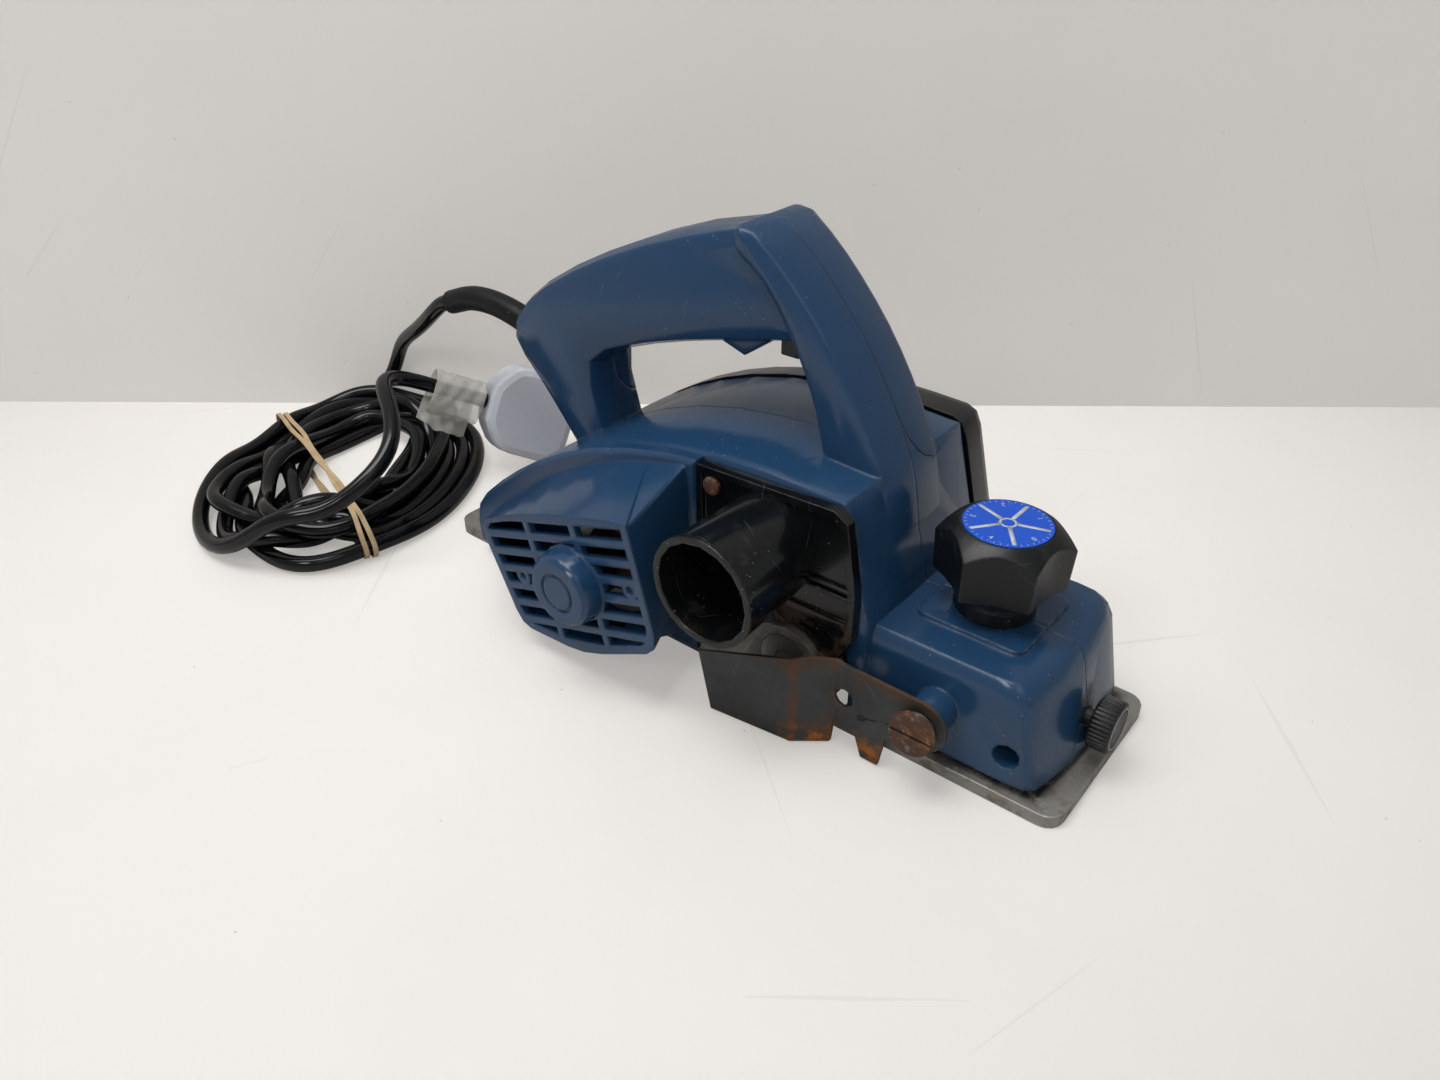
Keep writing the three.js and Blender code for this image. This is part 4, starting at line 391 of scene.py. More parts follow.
class Finish:
    """A material that is built up from a base colour by worn, dusty or rusty layers."""

    def __init__(self, name, color, roughness, metallic=0.0, **shader_values):
        self.material = bpy.data.materials.new(name)
        self.material.use_nodes = True
        self.tree = self.material.node_tree
        self.shader = self.tree.nodes["Principled BSDF"]
        for key, value in shader_values.items():
            self.shader.inputs[key.replace("_", " ")].default_value = value
        self.place = add_node(self.tree, "ShaderNodeTexCoord").outputs["Object"]
        self.color, self.rough, self.metal = (*color, 1), roughness, metallic
        self.height = None

    def mask(self, group, **values):
        node = self.tree.nodes.new("ShaderNodeGroup")
        node.node_tree = group
        self.tree.links.new(self.place, node.inputs["Place"])
        for key, value in values.items():
            node.inputs[key].default_value = value
        return node.outputs["Mask"]

    def patches(self, scale, level, edge):
        return self.mask(PATCHES, Scale=scale, Level=level, Edge=edge)

    def scratches(self, scale, width, rarity):
        return self.mask(SCRATCHES, Scale=scale, Width=width, Rarity=rarity)

    def specks(self, scale, size):
        return self.mask(SPECKS, Scale=scale, Size=size)

    def noise(self, scale, detail, stretch):
        stretched = add_node(self.tree, "ShaderNodeMapping", [("Vector", self.place)], Scale=stretch)
        return add_node(
            self.tree, "ShaderNodeTexNoise", [("Vector", stretched.outputs[0])], Scale=scale, Detail=detail,
        ).outputs["Fac"]

    # Mask of fine lines along the axis with the smallest stretch
    def stripes(self, scale, stretch):
        return ranged(self.tree, self.noise(scale, 4, stretch), 0.4, 0.7)

    # Mask along one axis of the object, 0 at low and 1 at high
    def rise(self, axis, low, high):
        parts = add_node(self.tree, "ShaderNodeSeparateXYZ", [("Vector", self.place)])
        return ranged(self.tree, parts.outputs[axis], low, high)

    # Mask along one axis, full at a place and fading to either side within a reach
    def near(self, axis, place, reach):
        return self.times(self.rise(axis, place - reach, place), self.rise(axis, place + reach, place))

    def bevel(self, radius):
        return add_node(self.tree, "ShaderNodeBevel", Radius=radius * MM).outputs["Normal"]

    # Mask on sharp outer and inner edges, within a radius of them
    def worn_edges(self, radius):
        rounded = self.bevel(radius)
        plain = add_node(self.tree, "ShaderNodeNewGeometry").outputs["Normal"]
        return ranged(self.tree, vector(self.tree, "DOT_PRODUCT", rounded, plain)["Value"], 0.985, 0.9)

    # Edges that shade as rounded
    def rounded(self, radius):
        self.height = self.bevel(radius)

    def times(self, first, second):
        return scalar(self.tree, "MULTIPLY", first, second)

    def both(self, first, second):
        return scalar(self.tree, "MAXIMUM", first, second)

    def _mixed(self, kind, mask, before, after):
        a, b, result = {"RGBA": (6, 7, 2), "FLOAT": (2, 3, 0)}[kind]
        inputs = [(0, mask), (a, before), (b, after)]
        return add_node(self.tree, "ShaderNodeMix", inputs, data_type=kind).outputs[result]

    def layer(self, mask, color, roughness=None, metallic=None, amount=1.0):
        strength = self.times(mask, amount)
        self.color = self._mixed("RGBA", strength, self.color, (*color, 1))
        if roughness is not None:
            self.rough = self._mixed("FLOAT", strength, self.rough, roughness)
        if metallic is not None:
            self.metal = self._mixed("FLOAT", strength, self.metal, metallic)

    # Uneven surface, with its depth in millimetres
    def relief(self, scale, depth, detail, stretch=(1, 1, 1)):
        uneven = self.noise(scale, detail, stretch)
        bump = add_node(self.tree, "ShaderNodeBump", [("Height", uneven)], Strength=1, Distance=depth * MM)
        if self.height is not None:
            self.tree.links.new(self.height, bump.inputs["Normal"])
        self.height = bump.outputs["Normal"]
        return self

    def done(self):
        feed(self.tree, self.shader.inputs["Base Color"], self.color)
        feed(self.tree, self.shader.inputs["Roughness"], self.rough)
        feed(self.tree, self.shader.inputs["Metallic"], self.metal)
        if self.height is not None:
            self.tree.links.new(self.height, self.shader.inputs["Normal"])
        return self.material


def blue_housing():
    skin = Finish("blue_housing", (0.0155, 0.054, 0.127), 0.16)
    skin.rounded(1.6)
    skin.layer(skin.patches(11, 0.46, 0.25), (0.019, 0.06, 0.127), 0.26, amount=0.7)
    skin.layer(skin.patches(60, 0.62, 0.1), (0.05, 0.08, 0.125), 0.42, amount=0.3)
    skin.layer(skin.scratches(70, 0.0001, 0.78), (0.13, 0.2, 0.29), 0.45, amount=0.3)
    skin.layer(skin.specks(330, 0.07), (0.4, 0.43, 0.45), 0.7, amount=0.5)
    edges = skin.times(skin.worn_edges(0.9), skin.patches(160, 0.47, 0.14))
    skin.layer(skin.times(edges, skin.rise("X", 0.06, 0.1)), (0.2, 0.23, 0.27), 0.5, amount=0.75)
    skin.layer(edges, (0.06, 0.1, 0.16), 0.35, amount=0.35)
    return skin.relief(60, 0.02, 2).done()


def black_moulding(name="black_moulding", dust=0.1, roughness=0.16, wear=0.5, rust=0.0):
    skin = Finish(name, (0.0045, 0.0055, 0.006), roughness, Specular_IOR_Level=0.42)
    skin.rounded(0.7)
    skin.layer(skin.patches(22, 0.5, 0.2), (0.01, 0.011, 0.011), 0.3, amount=0.6)
    skin.layer(skin.patches(85, 0.6, 0.1), (0.12, 0.115, 0.1), 0.6, amount=dust)
    skin.layer(skin.scratches(90, 0.00012, 0.5), (0.1, 0.1, 0.1), 0.5, amount=0.4)
    skin.layer(skin.specks(420, 0.09), (0.5, 0.5, 0.48), 0.7, amount=0.5)
    edges = skin.times(skin.worn_edges(0.5), skin.patches(130, 0.45, 0.15))
    skin.layer(edges, (0.11, 0.11, 0.105), 0.45, amount=wear)
    low = skin.times(skin.rise("Z", 0.056, 0.038), skin.patches(75, 0.43, 0.16))
    skin.layer(low, (0.085, 0.042, 0.02), 0.85, amount=rust)
    return skin.relief(300, 0.01, 2).done()


def cast_sole():
    skin = Finish("cast_sole", (0.36, 0.35, 0.325), 0.42, 0.6)
    skin.layer(skin.stripes(60, (1, 14, 6)), (0.29, 0.28, 0.255), 0.5, amount=0.5)
    skin.layer(skin.patches(30, 0.46, 0.18), (0.2, 0.17, 0.135), 0.6, 0.4, amount=0.75)
    skin.layer(skin.patches(110, 0.54, 0.1), (0.1, 0.075, 0.052), 0.75, 0.2, amount=0.65)
    skin.layer(skin.worn_edges(0.8), (0.5, 0.49, 0.47), 0.35, 0.75, amount=0.7)
    skin.layer(skin.scratches(60, 0.0002, 0.3), (0.55, 0.55, 0.53), 0.35, amount=0.6)
    along = skin.times(skin.rise("X", 0.071, 0.0765), skin.rise("X", 0.1495, 0.1445))
    across = skin.times(skin.rise("Y", -0.0405, -0.0355), skin.rise("Y", 0.0405, 0.0355))
    round_block = skin.times(along, across)
    skin.layer(skin.times(round_block, skin.patches(140, 0.36, 0.16)), (0.014, 0.012, 0.01), 0.85, 0)
    return skin.relief(500, 0.03, 4).done()


def machined_steel():
    skin = Finish("machined_steel", (0.5, 0.5, 0.49), 0.34, 0.95)
    skin.layer(skin.patches(60, 0.5, 0.15), (0.27, 0.23, 0.19), 0.55, 0.7, amount=0.6)
    return skin.relief(700, 0.015, 2).done()


def oiled_steel():
    skin = Finish("oiled_steel", (0.03, 0.03, 0.031), 0.42, 0.5)
    skin.layer(skin.patches(150, 0.5, 0.12), (0.055, 0.05, 0.045), 0.6, 0.3, amount=0.7)
    return skin.relief(500, 0.03, 3).done()


def rusty_screw():
    skin = Finish("rusty_screw", (0.09, 0.045, 0.028), 0.72, 0.25)
    skin.layer(skin.patches(180, 0.5, 0.1), (0.2, 0.085, 0.035), 0.85, 0.05, amount=0.9)
    skin.layer(skin.patches(420, 0.58, 0.08), (0.32, 0.3, 0.28), 0.5, 0.6, amount=0.5)
    return skin.relief(600, 0.12, 5).done()


def dark_sheet():
    skin = Finish("dark_sheet", (0.04, 0.045, 0.046), 0.42, 0.5)
    skin.layer(skin.patches(26, 0.44, 0.2), (0.075, 0.08, 0.077), 0.55, amount=0.8)
    skin.layer(skin.scratches(80, 0.00018, 0.4), (0.2, 0.2, 0.19), 0.4, amount=0.45)
    blotches = skin.patches(75, 0.42, 0.14)
    feet = skin.both(skin.near("X", 0.064, 0.012), skin.near("X", 0.087, 0.011))
    low_rust = skin.times(skin.times(skin.rise("Z", 0.013, 0.004), feet), blotches)
    skin.layer(skin.times(skin.rise("Z", 0.007, 0.001), blotches), (0.1, 0.045, 0.02), 0.8, 0.2, amount=0.7)
    skin.layer(skin.times(skin.worn_edges(0.9), blotches), (0.15, 0.062, 0.026), 0.8, 0.15, amount=0.8)
    folds = skin.both(skin.near("X", 0.0585, 0.0028), skin.near("X", 0.0705, 0.003))
    skin.layer(skin.times(folds, blotches), (0.13, 0.055, 0.025), 0.8, 0.15, amount=0.85)
    skin.layer(low_rust, (0.17, 0.06, 0.018), 0.85, 0.1)
    skin.layer(skin.times(low_rust, skin.patches(150, 0.5, 0.08)), (0.42, 0.14, 0.02), 0.9)
    high = skin.rise("Z", 0.031, 0.041)
    skin.layer(skin.times(high, skin.patches(120, 0.43, 0.12)), (0.1, 0.045, 0.02), 0.8, 0.2)
    skin.layer(skin.patches(200, 0.63, 0.06), (0.12, 0.06, 0.03), 0.8, 0.2, amount=0.7)
    return skin.relief(420, 0.05, 5).done()


def worn_spring():
    skin = Finish("worn_spring", (0.1, 0.09, 0.08), 0.5, 0.7)
    skin.layer(skin.patches(300, 0.5, 0.1), (0.14, 0.07, 0.035), 0.8, 0.2)
    return skin.relief(600, 0.05, 4).done()


def dial_face():
    skin = Finish("dial_face", (0.002, 0.085, 0.62), 0.3)
    skin.layer(skin.patches(60, 0.5, 0.2), (0.006, 0.1, 0.54), 0.42, amount=0.6)
    skin.layer(skin.specks(600, 0.13), (0.5, 0.55, 0.6), 0.7, amount=0.5)
    return skin.relief(800, 0.01, 2).done()


def dial_paint():
    skin = Finish("dial_paint", (0.62, 0.65, 0.68), 0.4)
    skin.layer(skin.patches(300, 0.52, 0.1), (0.3, 0.36, 0.5), 0.5, amount=0.5)
    return skin.relief(800, 0.01, 2).done()


def seal_rubber():
    skin = Finish("seal_rubber", (0.012, 0.012, 0.012), 0.75)
    skin.layer(skin.patches(90, 0.48, 0.15), (0.07, 0.055, 0.04), 0.9, amount=0.8)
    return skin.relief(500, 0.06, 5).done()


def cord_sheath():
    skin = Finish("cord_sheath", (0.0028, 0.0032, 0.004), 0.13, Specular_IOR_Level=0.38)
    skin.layer(skin.patches(35, 0.5, 0.2), (0.006, 0.0065, 0.007), 0.24, amount=0.8)
    skin.layer(skin.patches(160, 0.64, 0.08), (0.08, 0.08, 0.075), 0.45, amount=0.15)
    return skin.relief(90, 0.02, 2).done()


def sleeve_rubber():
    skin = Finish("sleeve_rubber", (0.005, 0.006, 0.0066), 0.42, Specular_IOR_Level=0.25)
    skin.layer(skin.patches(60, 0.5, 0.15), (0.012, 0.012, 0.012), 0.5, amount=0.6)
    skin.layer(skin.specks(230, 0.1), (0.2, 0.2, 0.19), 0.8, amount=0.4)
    return skin.relief(450, 0.05, 4).done()


def plug_moulding():
    skin = Finish("plug_moulding", (0.68, 0.69, 0.76), 0.3, Subsurface_Weight=0.06)
    skin.layer(skin.patches(30, 0.5, 0.2), (0.6, 0.61, 0.68), 0.4, amount=0.5)
    skin.layer(skin.specks(150, 0.1), (0.25, 0.25, 0.24), 0.6, amount=0.4)
    return skin.relief(500, 0.01, 2).done()


def brass_pin():
    skin = Finish("brass_pin", (0.6, 0.43, 0.17), 0.32, 0.95)
    skin.layer(skin.patches(120, 0.5, 0.15), (0.3, 0.2, 0.09), 0.5, 0.8, amount=0.6)
    return skin.relief(500, 0.02, 3).done()


# Winding: copper darkened nearly to black, partly for dust on it and partly as painted shade of the
# housing's unlit inside
def copper_winding():
    skin = Finish("copper_winding", (0.045, 0.02, 0.01), 0.6, 0.5)
    skin.layer(skin.stripes(260, (12, 1, 12)), (0.02, 0.012, 0.008), 0.7, amount=0.8)
    return skin.relief(300, 0.15, 2, stretch=(12, 1, 12)).done()


def band_rubber():
    skin = Finish("band_rubber", (0.56, 0.41, 0.235), 0.55)
    skin.layer(skin.patches(110, 0.48, 0.15), (0.42, 0.29, 0.15), 0.65, amount=0.7)
    return skin.relief(380, 0.06, 3).done()


def tag_paper():
    skin = Finish("tag_paper", (0.86, 0.85, 0.79), 0.16, Alpha=0.42)
    skin.layer(skin.patches(60, 0.5, 0.12), (0.72, 0.69, 0.6), 0.3, amount=0.7)
    skin.layer(skin.scratches(90, 0.0003, 0.2), (0.9, 0.89, 0.85), 0.25, amount=0.7)
    return skin.relief(90, 0.9, 3).done()


# Look of each slot's solids, and of the pieces that are drawn here
LOOKS = {
    "blue": blue_housing(), "black": black_moulding(),
    "knob": black_moulding("knob_moulding", dust=0.14, roughness=0.36, wear=0.9),
    "dusty": black_moulding("dusty_moulding", dust=0.8, roughness=0.4),
    "chute": black_moulding("chute_moulding", dust=0.15, rust=0.85),
    "cast": cast_sole(), "steel": machined_steel(), "oiled": oiled_steel(),
    "rust": rusty_screw(), "sheet": dark_sheet(), "spring": worn_spring(), "seal": seal_rubber(),
    "cord": cord_sheath(), "sleeve": sleeve_rubber(), "plug": plug_moulding(), "brass": brass_pin(),
    "copper": copper_winding(), "band": band_rubber(), "tag": tag_paper(), "dial": dial_face(),
    "dial_paint": dial_paint(),
}
LOOK_OF_SLOT = {
    "housing": "blue", "black_moulding": "black", "cast_sole": "cast", "steel": "steel",
    "rusty_steel": "rust", "dark_sheet": "sheet", "winding": "copper", "brass": "brass", "seal": "seal",
    "cord": "cord", "dial": "dial", "plug": "plug", "band": "band", "tag": "tag",
}
slot_of_node = {part["node"]: part["material_slot"] for part in frame["record"]["subparts"]}
for node, shown in frame["nodes"].items():
    shown.data.materials.clear()
    shown.data.materials.append(LOOKS[LOOK_OF_SLOT[slot_of_node[node]]])


# Put a bmesh drawn in millimetres into the scene, riding with its node's body and standing for that node
def finished(name, bm, node, look, replaced, smooth_below, modifiers=()):
    bmesh.ops.scale(bm, vec=(MM, MM, MM), verts=bm.verts)
    for face in bm.faces:
        face.smooth = True
    for edge in bm.edges:
        if len(edge.link_faces) == 2:
            edge.smooth = edge.calc_face_angle(0) < math.radians(smooth_below)
    mesh = bpy.data.meshes.new(name)
    bm.to_mesh(mesh)
    bm.free()
    piece = bpy.data.objects.new(name, mesh)
    scene.collection.objects.link(piece)
    mesh.materials.append(LOOKS[look])
    for kind, values in modifiers:
        modifier = piece.modifiers.new(kind.lower(), kind)
        for key, value in values.items():
            setattr(modifier, key, value)
    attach(piece, body_of_node[node])
    if replaced:
        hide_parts(*replaced)
    return piece


# A node's solid in millimetres, with its triangles joined
def merged_copy(node):
    bm = bmesh.new()
    bm.from_mesh(frame["nodes"][node].data)
    bmesh.ops.scale(bm, vec=(1 / MM,) * 3, verts=bm.verts)
    bmesh.ops.remove_doubles(bm, verts=bm.verts, dist=0.001)
    return bm


# Rounded edges that catch the light
def edged(width, angle=35):
    return ("BEVEL", {
        "width": width * MM, "segments": 2, "limit_method": "ANGLE", "angle_limit": math.radians(angle),
        "harden_normals": True, "use_clamp_overlap": True, "miter_outer": "MITER_ARC",
    })


# Thin sheet with a thickness
def thickened(thickness):
    return ("SOLIDIFY", {"thickness": thickness * MM, "offset": 0})


# The horn of the handle's post ends blunt: what stands above a slanting plane is pressed down
HORN_PLANE_HEIGHT, HORN_PLANE_SLOPE, HORN_FROM_X, HORN_PRESSED = 171.5, 0.28, -15, 0.6


def blunted(bm):
    for vert in bm.verts:
        over = vert.co.z - (HORN_PLANE_HEIGHT + HORN_PLANE_SLOPE * vert.co.x)
        if over > 0 and vert.co.x > HORN_FROM_X:
            vert.co.z -= HORN_PRESSED * over
    return bm


# A node's own shape with rounded edges and a look
def dressed(node, look, width, angle=35):
    bm = blunted(merged_copy(node))
    return finished(f"{node}_skin", bm, node, look, [node], angle + 5, [edged(width, angle)])


for node, look, width in (
    ("right_housing", "blue", 0.6), ("left_housing", "blue", 0.6), ("handle_cover", "blue", 0.6),
    ("belt_cover", "black", 0.6), ("chip_chute", "chute", 0.3), ("chute_screw", "rust", 0.3),
    ("rear_sole", "cast", 0.5), ("front_shoe", "cast", 0.5), ("shoe_seal", "seal", 0.3),
    ("guard_plate", "sheet", 0.3), ("guard_screw", "rust", 0.4),
    ("clamp_screw", "oiled", 0.4), ("trigger", "black", 0.8),
    ("cutter_drum", "steel", 0.2), ("guard_spring", "spring", 0.05),
):
    dressed(node, look, width)


# Tube along a smooth curve, with each point's share of the radius where it swells
def tube_piece(name, points, radius, node, look, replaced, swell=None):
    curve = bpy.data.curves.new(name, "CURVE")
    curve.dimensions = "3D"
    curve.bevel_depth = radius * MM
    curve.bevel_resolution = 6
    curve.resolution_u = 4
    curve.use_fill_caps = True
    spline = curve.splines.new("BEZIER")
    spline.bezier_points.add(len(points) - 1)
    for i, (point, place) in enumerate(zip(spline.bezier_points, points)):
        point.co = Vector(place) * MM
        point.handle_left_type = point.handle_right_type = "AUTO"
        point.radius = swell[i] if swell else 1
    piece = bpy.data.objects.new(name, curve)
    scene.collection.objects.link(piece)
    curve.materials.append(LOOKS[look])
    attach(piece, body_of_node[node])
    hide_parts(*replaced)
    return piece


settled = settled_cord(420)
route = [Vector(p) for p in settled[::2]]
if (len(settled) - 1) % 2:
    route.append(Vector(settled[-1]))
cord = tube_piece("cord", route, CORD_RADIUS, "cord_coil", "cord", ["cord_lead", "cord_coil", "cord_tail"])
sleeve_points = through(SLEEVE_ROUTE, ROUTE_STEP)
sleeve_swell = [1.04 - 0.06 * i / len(sleeve_points) for i in range(len(sleeve_points))]
tube_piece("sleeve", sleeve_points, SLEEVE_RADIUS, "cord_sleeve", "sleeve", ["cord_sleeve"], sleeve_swell)


# Rubber band: two strands drawn tight round the section of the heap that it crosses
BAND_CATCHES, BAND_OFF_CORD, BAND_OFF_FLOOR = 5, 0.55, 0.6
BAND_SECTION = [(-1.1, -0.4), (1.1, -0.4), (1.2, 0), (1.1, 0.4), (-1.1, 0.4), (-1.2, 0)]


def band_outline():
    flat = settled[:, :2] - BAND_PLACE
    near = np.abs(flat @ BAND_ACROSS) < BAND_CATCHES
    lead_steps, tail_steps = 40, 45
    near[:lead_steps] = near[-tail_steps:] = False
    reach = CORD_RADIUS + BAND_OFF_CORD
    spots = sorted({
        (out + reach * math.cos(turn), max(BAND_OFF_FLOOR, high + reach * math.sin(turn)))
        for out, high in zip((flat @ BAND_ALONG)[near], settled[near, 2])
        for turn in (2 * math.pi * i / 24 for i in range(24))
    })

    # Lower side of the outline, or its upper side when the spots come in reverse
    def half_hull(ordered):
        kept = []
        for spot in ordered:
            while len(kept) > 1 and (
                (kept[-1][0] - kept[-2][0]) * (spot[1] - kept[-2][1])
                - (kept[-1][1] - kept[-2][1]) * (spot[0] - kept[-2][0])
            ) <= 0:
                kept.pop()
            kept.append(spot)
        return kept[:-1]

    hull = half_hull(spots) + half_hull(spots[::-1])
    return spaced([*[(a, b, 0) for a, b in hull], (*hull[0], 0)], 2)[:-1, :2]


# One strand, shifted sideways and lifted off the outline
def band_strand(outline, shift, lift):
    along, across, centre = (Vector((*flat, 0)) for flat in (BAND_ALONG, BAND_ACROSS, BAND_PLACE))
    bm = bmesh.new()
    count = len(outline)
    rings = []
    for i, (out, high) in enumerate(outline):
        before, after = outline[i - 1], outline[(i + 1) % count]
        ahead = Vector((after[0] - before[0], after[1] - before[1])).normalized()
        normal = Vector((ahead.y, -ahead.x))
        turn = 2 * math.pi * i / count
        swing = shift * math.cos(turn + 0.4) + 0.35 * math.sin(7 * turn + shift)
        ring = []
        for wide, thick in BAND_SECTION:
            outward = normal * (thick + lift)
            spot = centre + along * (out + outward.x) + Vector((0, 0, high + outward.y))
            ring.append(bm.verts.new(spot + across * (wide + swing)))
        rings.append(ring)
    for ring, following in zip(rings, [*rings[1:], rings[0]]):
        for k in range(len(BAND_SECTION)):
            bm.faces.new((ring[k - 1], following[k - 1], following[k], ring[k]))
    bmesh.ops.recalc_face_normals(bm, faces=bm.faces)
    return bm


outline = band_outline()
band_pieces = [
    finished(name, band_strand(outline, shift, lift), "rubber_band", "band", ["rubber_band"], 60)
    for name, shift, lift in (("band_strand_1", 1.9, 0), ("band_strand_2", -1.9, 0.5))
]


# Solid turned about an axis through a place, from pairs of the distance along the axis and the radius
def turned(profile, place, axis, steps, closed=False):
    bm = bmesh.new()
    aside = Vector((0, 1, 0)) if abs(axis.y) < 0.5 else Vector((1, 0, 0))
    points = [bm.verts.new(place + axis * along + aside * radius) for along, radius in profile]
    following = [*points[1:], points[0]] if closed else points[1:]
    edges = [bm.edges.new(pair) for pair in zip(points, following)]
    bmesh.ops.spin(
        bm, geom=[*points, *edges], cent=place, axis=axis, angle=2 * math.pi, steps=steps, use_merge=True,
    )
    bmesh.ops.remove_doubles(bm, verts=bm.verts, dist=0.002)
    bmesh.ops.recalc_face_normals(bm, faces=bm.faces)
    return bm


# Depth knob: a domed disc whose six sides are hollowed, so that their upper edges arch
KNOB_PLACE = Vector((104, 0, 0))
KNOB_TURN = math.radians(21)
KNOB_FLAT, KNOB_HOLLOW = 21.2, 1.7
KNOB_RIM, KNOB_MOUTH, KNOB_COLLAR = 25.2, 16.3, 15.4
KNOB_TOP, KNOB_SHOULDER, KNOB_UNDERSIDE, KNOB_FOOT = 85, 77.9, 62.6, 50.5
ALONG_X, ALONG_Z = Vector((1, 0, 0)), Vector((0, 0, 1))
FINE_STEPS = 288


# How far from the axis the knob's side stands, in a direction and at a height
def hollow_side(turn, high):
    side = abs((turn - KNOB_TURN) % (math.pi / 3) - math.pi / 6)
    hollow = KNOB_HOLLOW * (1 - (side / (math.pi / 6)) ** 2)
    taper = 0.7 * (76 - high) / 14
    return KNOB_FLAT / math.cos(side) - hollow - taper


# Pairs of radius and height, from the knob's top down to its collar's foot
def knob_profile():
    across_cone, across_under = KNOB_RIM - KNOB_MOUTH, KNOB_RIM - KNOB_COLLAR
    cone = [
        (KNOB_MOUTH + across_cone * t, KNOB_TOP - 0.5 * t - 6.6 * t ** 1.25) for t in np.linspace(0, 1, 60)
    ]
    skirt = [
        (KNOB_RIM, KNOB_SHOULDER + (KNOB_UNDERSIDE - KNOB_SHOULDER) * t) for t in np.linspace(0.02, 1, 30)
    ]
    under = [(KNOB_RIM - across_under * t, KNOB_UNDERSIDE - 0.6 * t) for t in np.linspace(0, 1, 24)]
    collar = [(KNOB_COLLAR, 61.9), (14.8, 61.2), (14.8, 57.6), (14.3, 57.2), (14.3, 56.4), (14.9, 56)]
    foot = [(14.9, KNOB_FOOT + 0.2), (14.5, KNOB_FOOT), (0, KNOB_FOOT)]
    return [(0, 84.2), (15.9, 84.2), (16.1, 84.95), *cone, *skirt, *under, *collar, *foot]


def knob_skin():
    bm = turned([(high, radius) for radius, high in knob_profile()], KNOB_PLACE, ALONG_Z, FINE_STEPS)
    for vert in bm.verts:
        middle = Vector((KNOB_PLACE.x, 0, vert.co.z))
        from_axis = vert.co - middle
        radius = from_axis.length
        limit = hollow_side(math.atan2(from_axis.y, from_axis.x), vert.co.z)
        share = max(0, 0.35 - abs(radius - limit))
        reach = min(radius, limit) - share * share
        if radius > 1:
            vert.co = middle + from_axis * (reach / radius)
    return bm


finished("knob_skin", knob_skin(), "depth_knob", "knob", ["depth_knob"], 50)


# Clamp knob's two faces along X, its centre and its radius
def clamp_sizes():
    low, high = (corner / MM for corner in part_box("clamp_knob"))
    centre = Vector((0, (low.y + high.y) / 2, (low.z + high.z) / 2))
    return low.x, high.x, centre, (high.y - low.y) / 2


# Clamp knob: fine knurls, a rounded rim and a sunk face
def clamp_skin():
    back, front, centre, radius = clamp_sizes()
    bm = turned([
        (back, 0), (back, radius - 1.2), (back + 0.5, radius - 0.4), (back + 1, radius),
        (front - 1, radius), (front - 0.4, radius - 0.3), (front, radius - 1), (front, radius - 1.9),
        (front - 0.3, radius - 2.2), (front - 1.5, radius - 2.4), (front - 1.6, 0),
    ], centre, ALONG_X, FINE_STEPS)
    knurls, knurl_depth = 36, 0.6
    for vert in bm.verts:
        from_axis = vert.co - centre - Vector((vert.co.x, 0, 0))
        if from_axis.length >= radius - 0.5:
            turn = math.atan2(from_axis.z, from_axis.y)
            vert.co -= from_axis.normalized() * knurl_depth * max(0, math.cos(knurls * turn))
    return bm


# Pale metal ring let into the clamp knob's face
def clamp_ring():
    _, front, centre, radius = clamp_sizes()
    edge = radius - 1.9
    return turned([
        (front - 0.8, edge - 0.5), (front + 0.12, edge - 0.5), (front + 0.2, edge - 0.25),
        (front + 0.12, edge), (front - 0.8, edge),
    ], centre, ALONG_X, 96, closed=True)


finished("clamp_skin", clamp_skin(), "clamp_knob", "knob", ["clamp_knob"], 35)
finished("clamp_ring", clamp_ring(), "clamp_knob", "steel", (), 35)


# Two dusty ridges beside the chip tube
def chute_ridges():
    bm = bmesh.new()
    size = Matrix.Diagonal((19, 2, 1.4, 1))
    for high in (61.4, 64.6):
        bmesh.ops.create_cube(bm, size=1, matrix=Matrix.Translation((62, -45, high)) @ size)
    return bm


finished("chute_ridges", chute_ridges(), "chip_chute", "dusty", (), 30, [edged(0.4, 30)])


# Chip tube: a smooth skin over the moulded tube, with a rounded lip
def tube_skin():
    root, run = Vector((35.5, -41.3, 72)), Vector((0, -43.5, -1))
    end = math.hypot(run.y, run.z)
    outer = [(1, 19.6), (end - 1.6, 21.15), (end - 1.5, 21.35), (end - 0.1, 21.35), (end + 0.2, 21.05)]
    inner = [(end + 0.2, 19.1), (end - 0.1, 18.8), (end - 1, 18.7), (1, 17.2)]
    return turned([*outer, *inner], root, run.normalized(), 128)


finished("tube_skin", tube_skin(), "chip_chute", "black", (), 35)


# Guard: a slit with a small keyhole beside it, drawn as thin dark sheets on the plate: painted shade of the
# openings
def guard_slit():
    bm = bmesh.new()
    start, end = Vector((82.4, -51.62, 19)), Vector((94.4, -51.62, 22.6))
    ahead = (end - start).normalized()
    up = Vector((0, -1, 0)).cross(ahead)
    slit = (start - up * 0.3, start + up * 0.3, end + up * 0.22, end - up * 0.22)
    keyhole = [
        start + ahead * (1.7 * math.cos(turn)) + up * (1.3 * math.sin(turn)) + Vector((0, -0.01, 0))
        for turn in np.linspace(0, 2 * math.pi, 24)[:-1]
    ]
    for cut in (slit, keyhole):
        bm.faces.new([bm.verts.new(spot) for spot in cut])
    return bm


finished("guard_slit", guard_slit(), "guard_plate", "seal", (), 30, [thickened(0.1)])


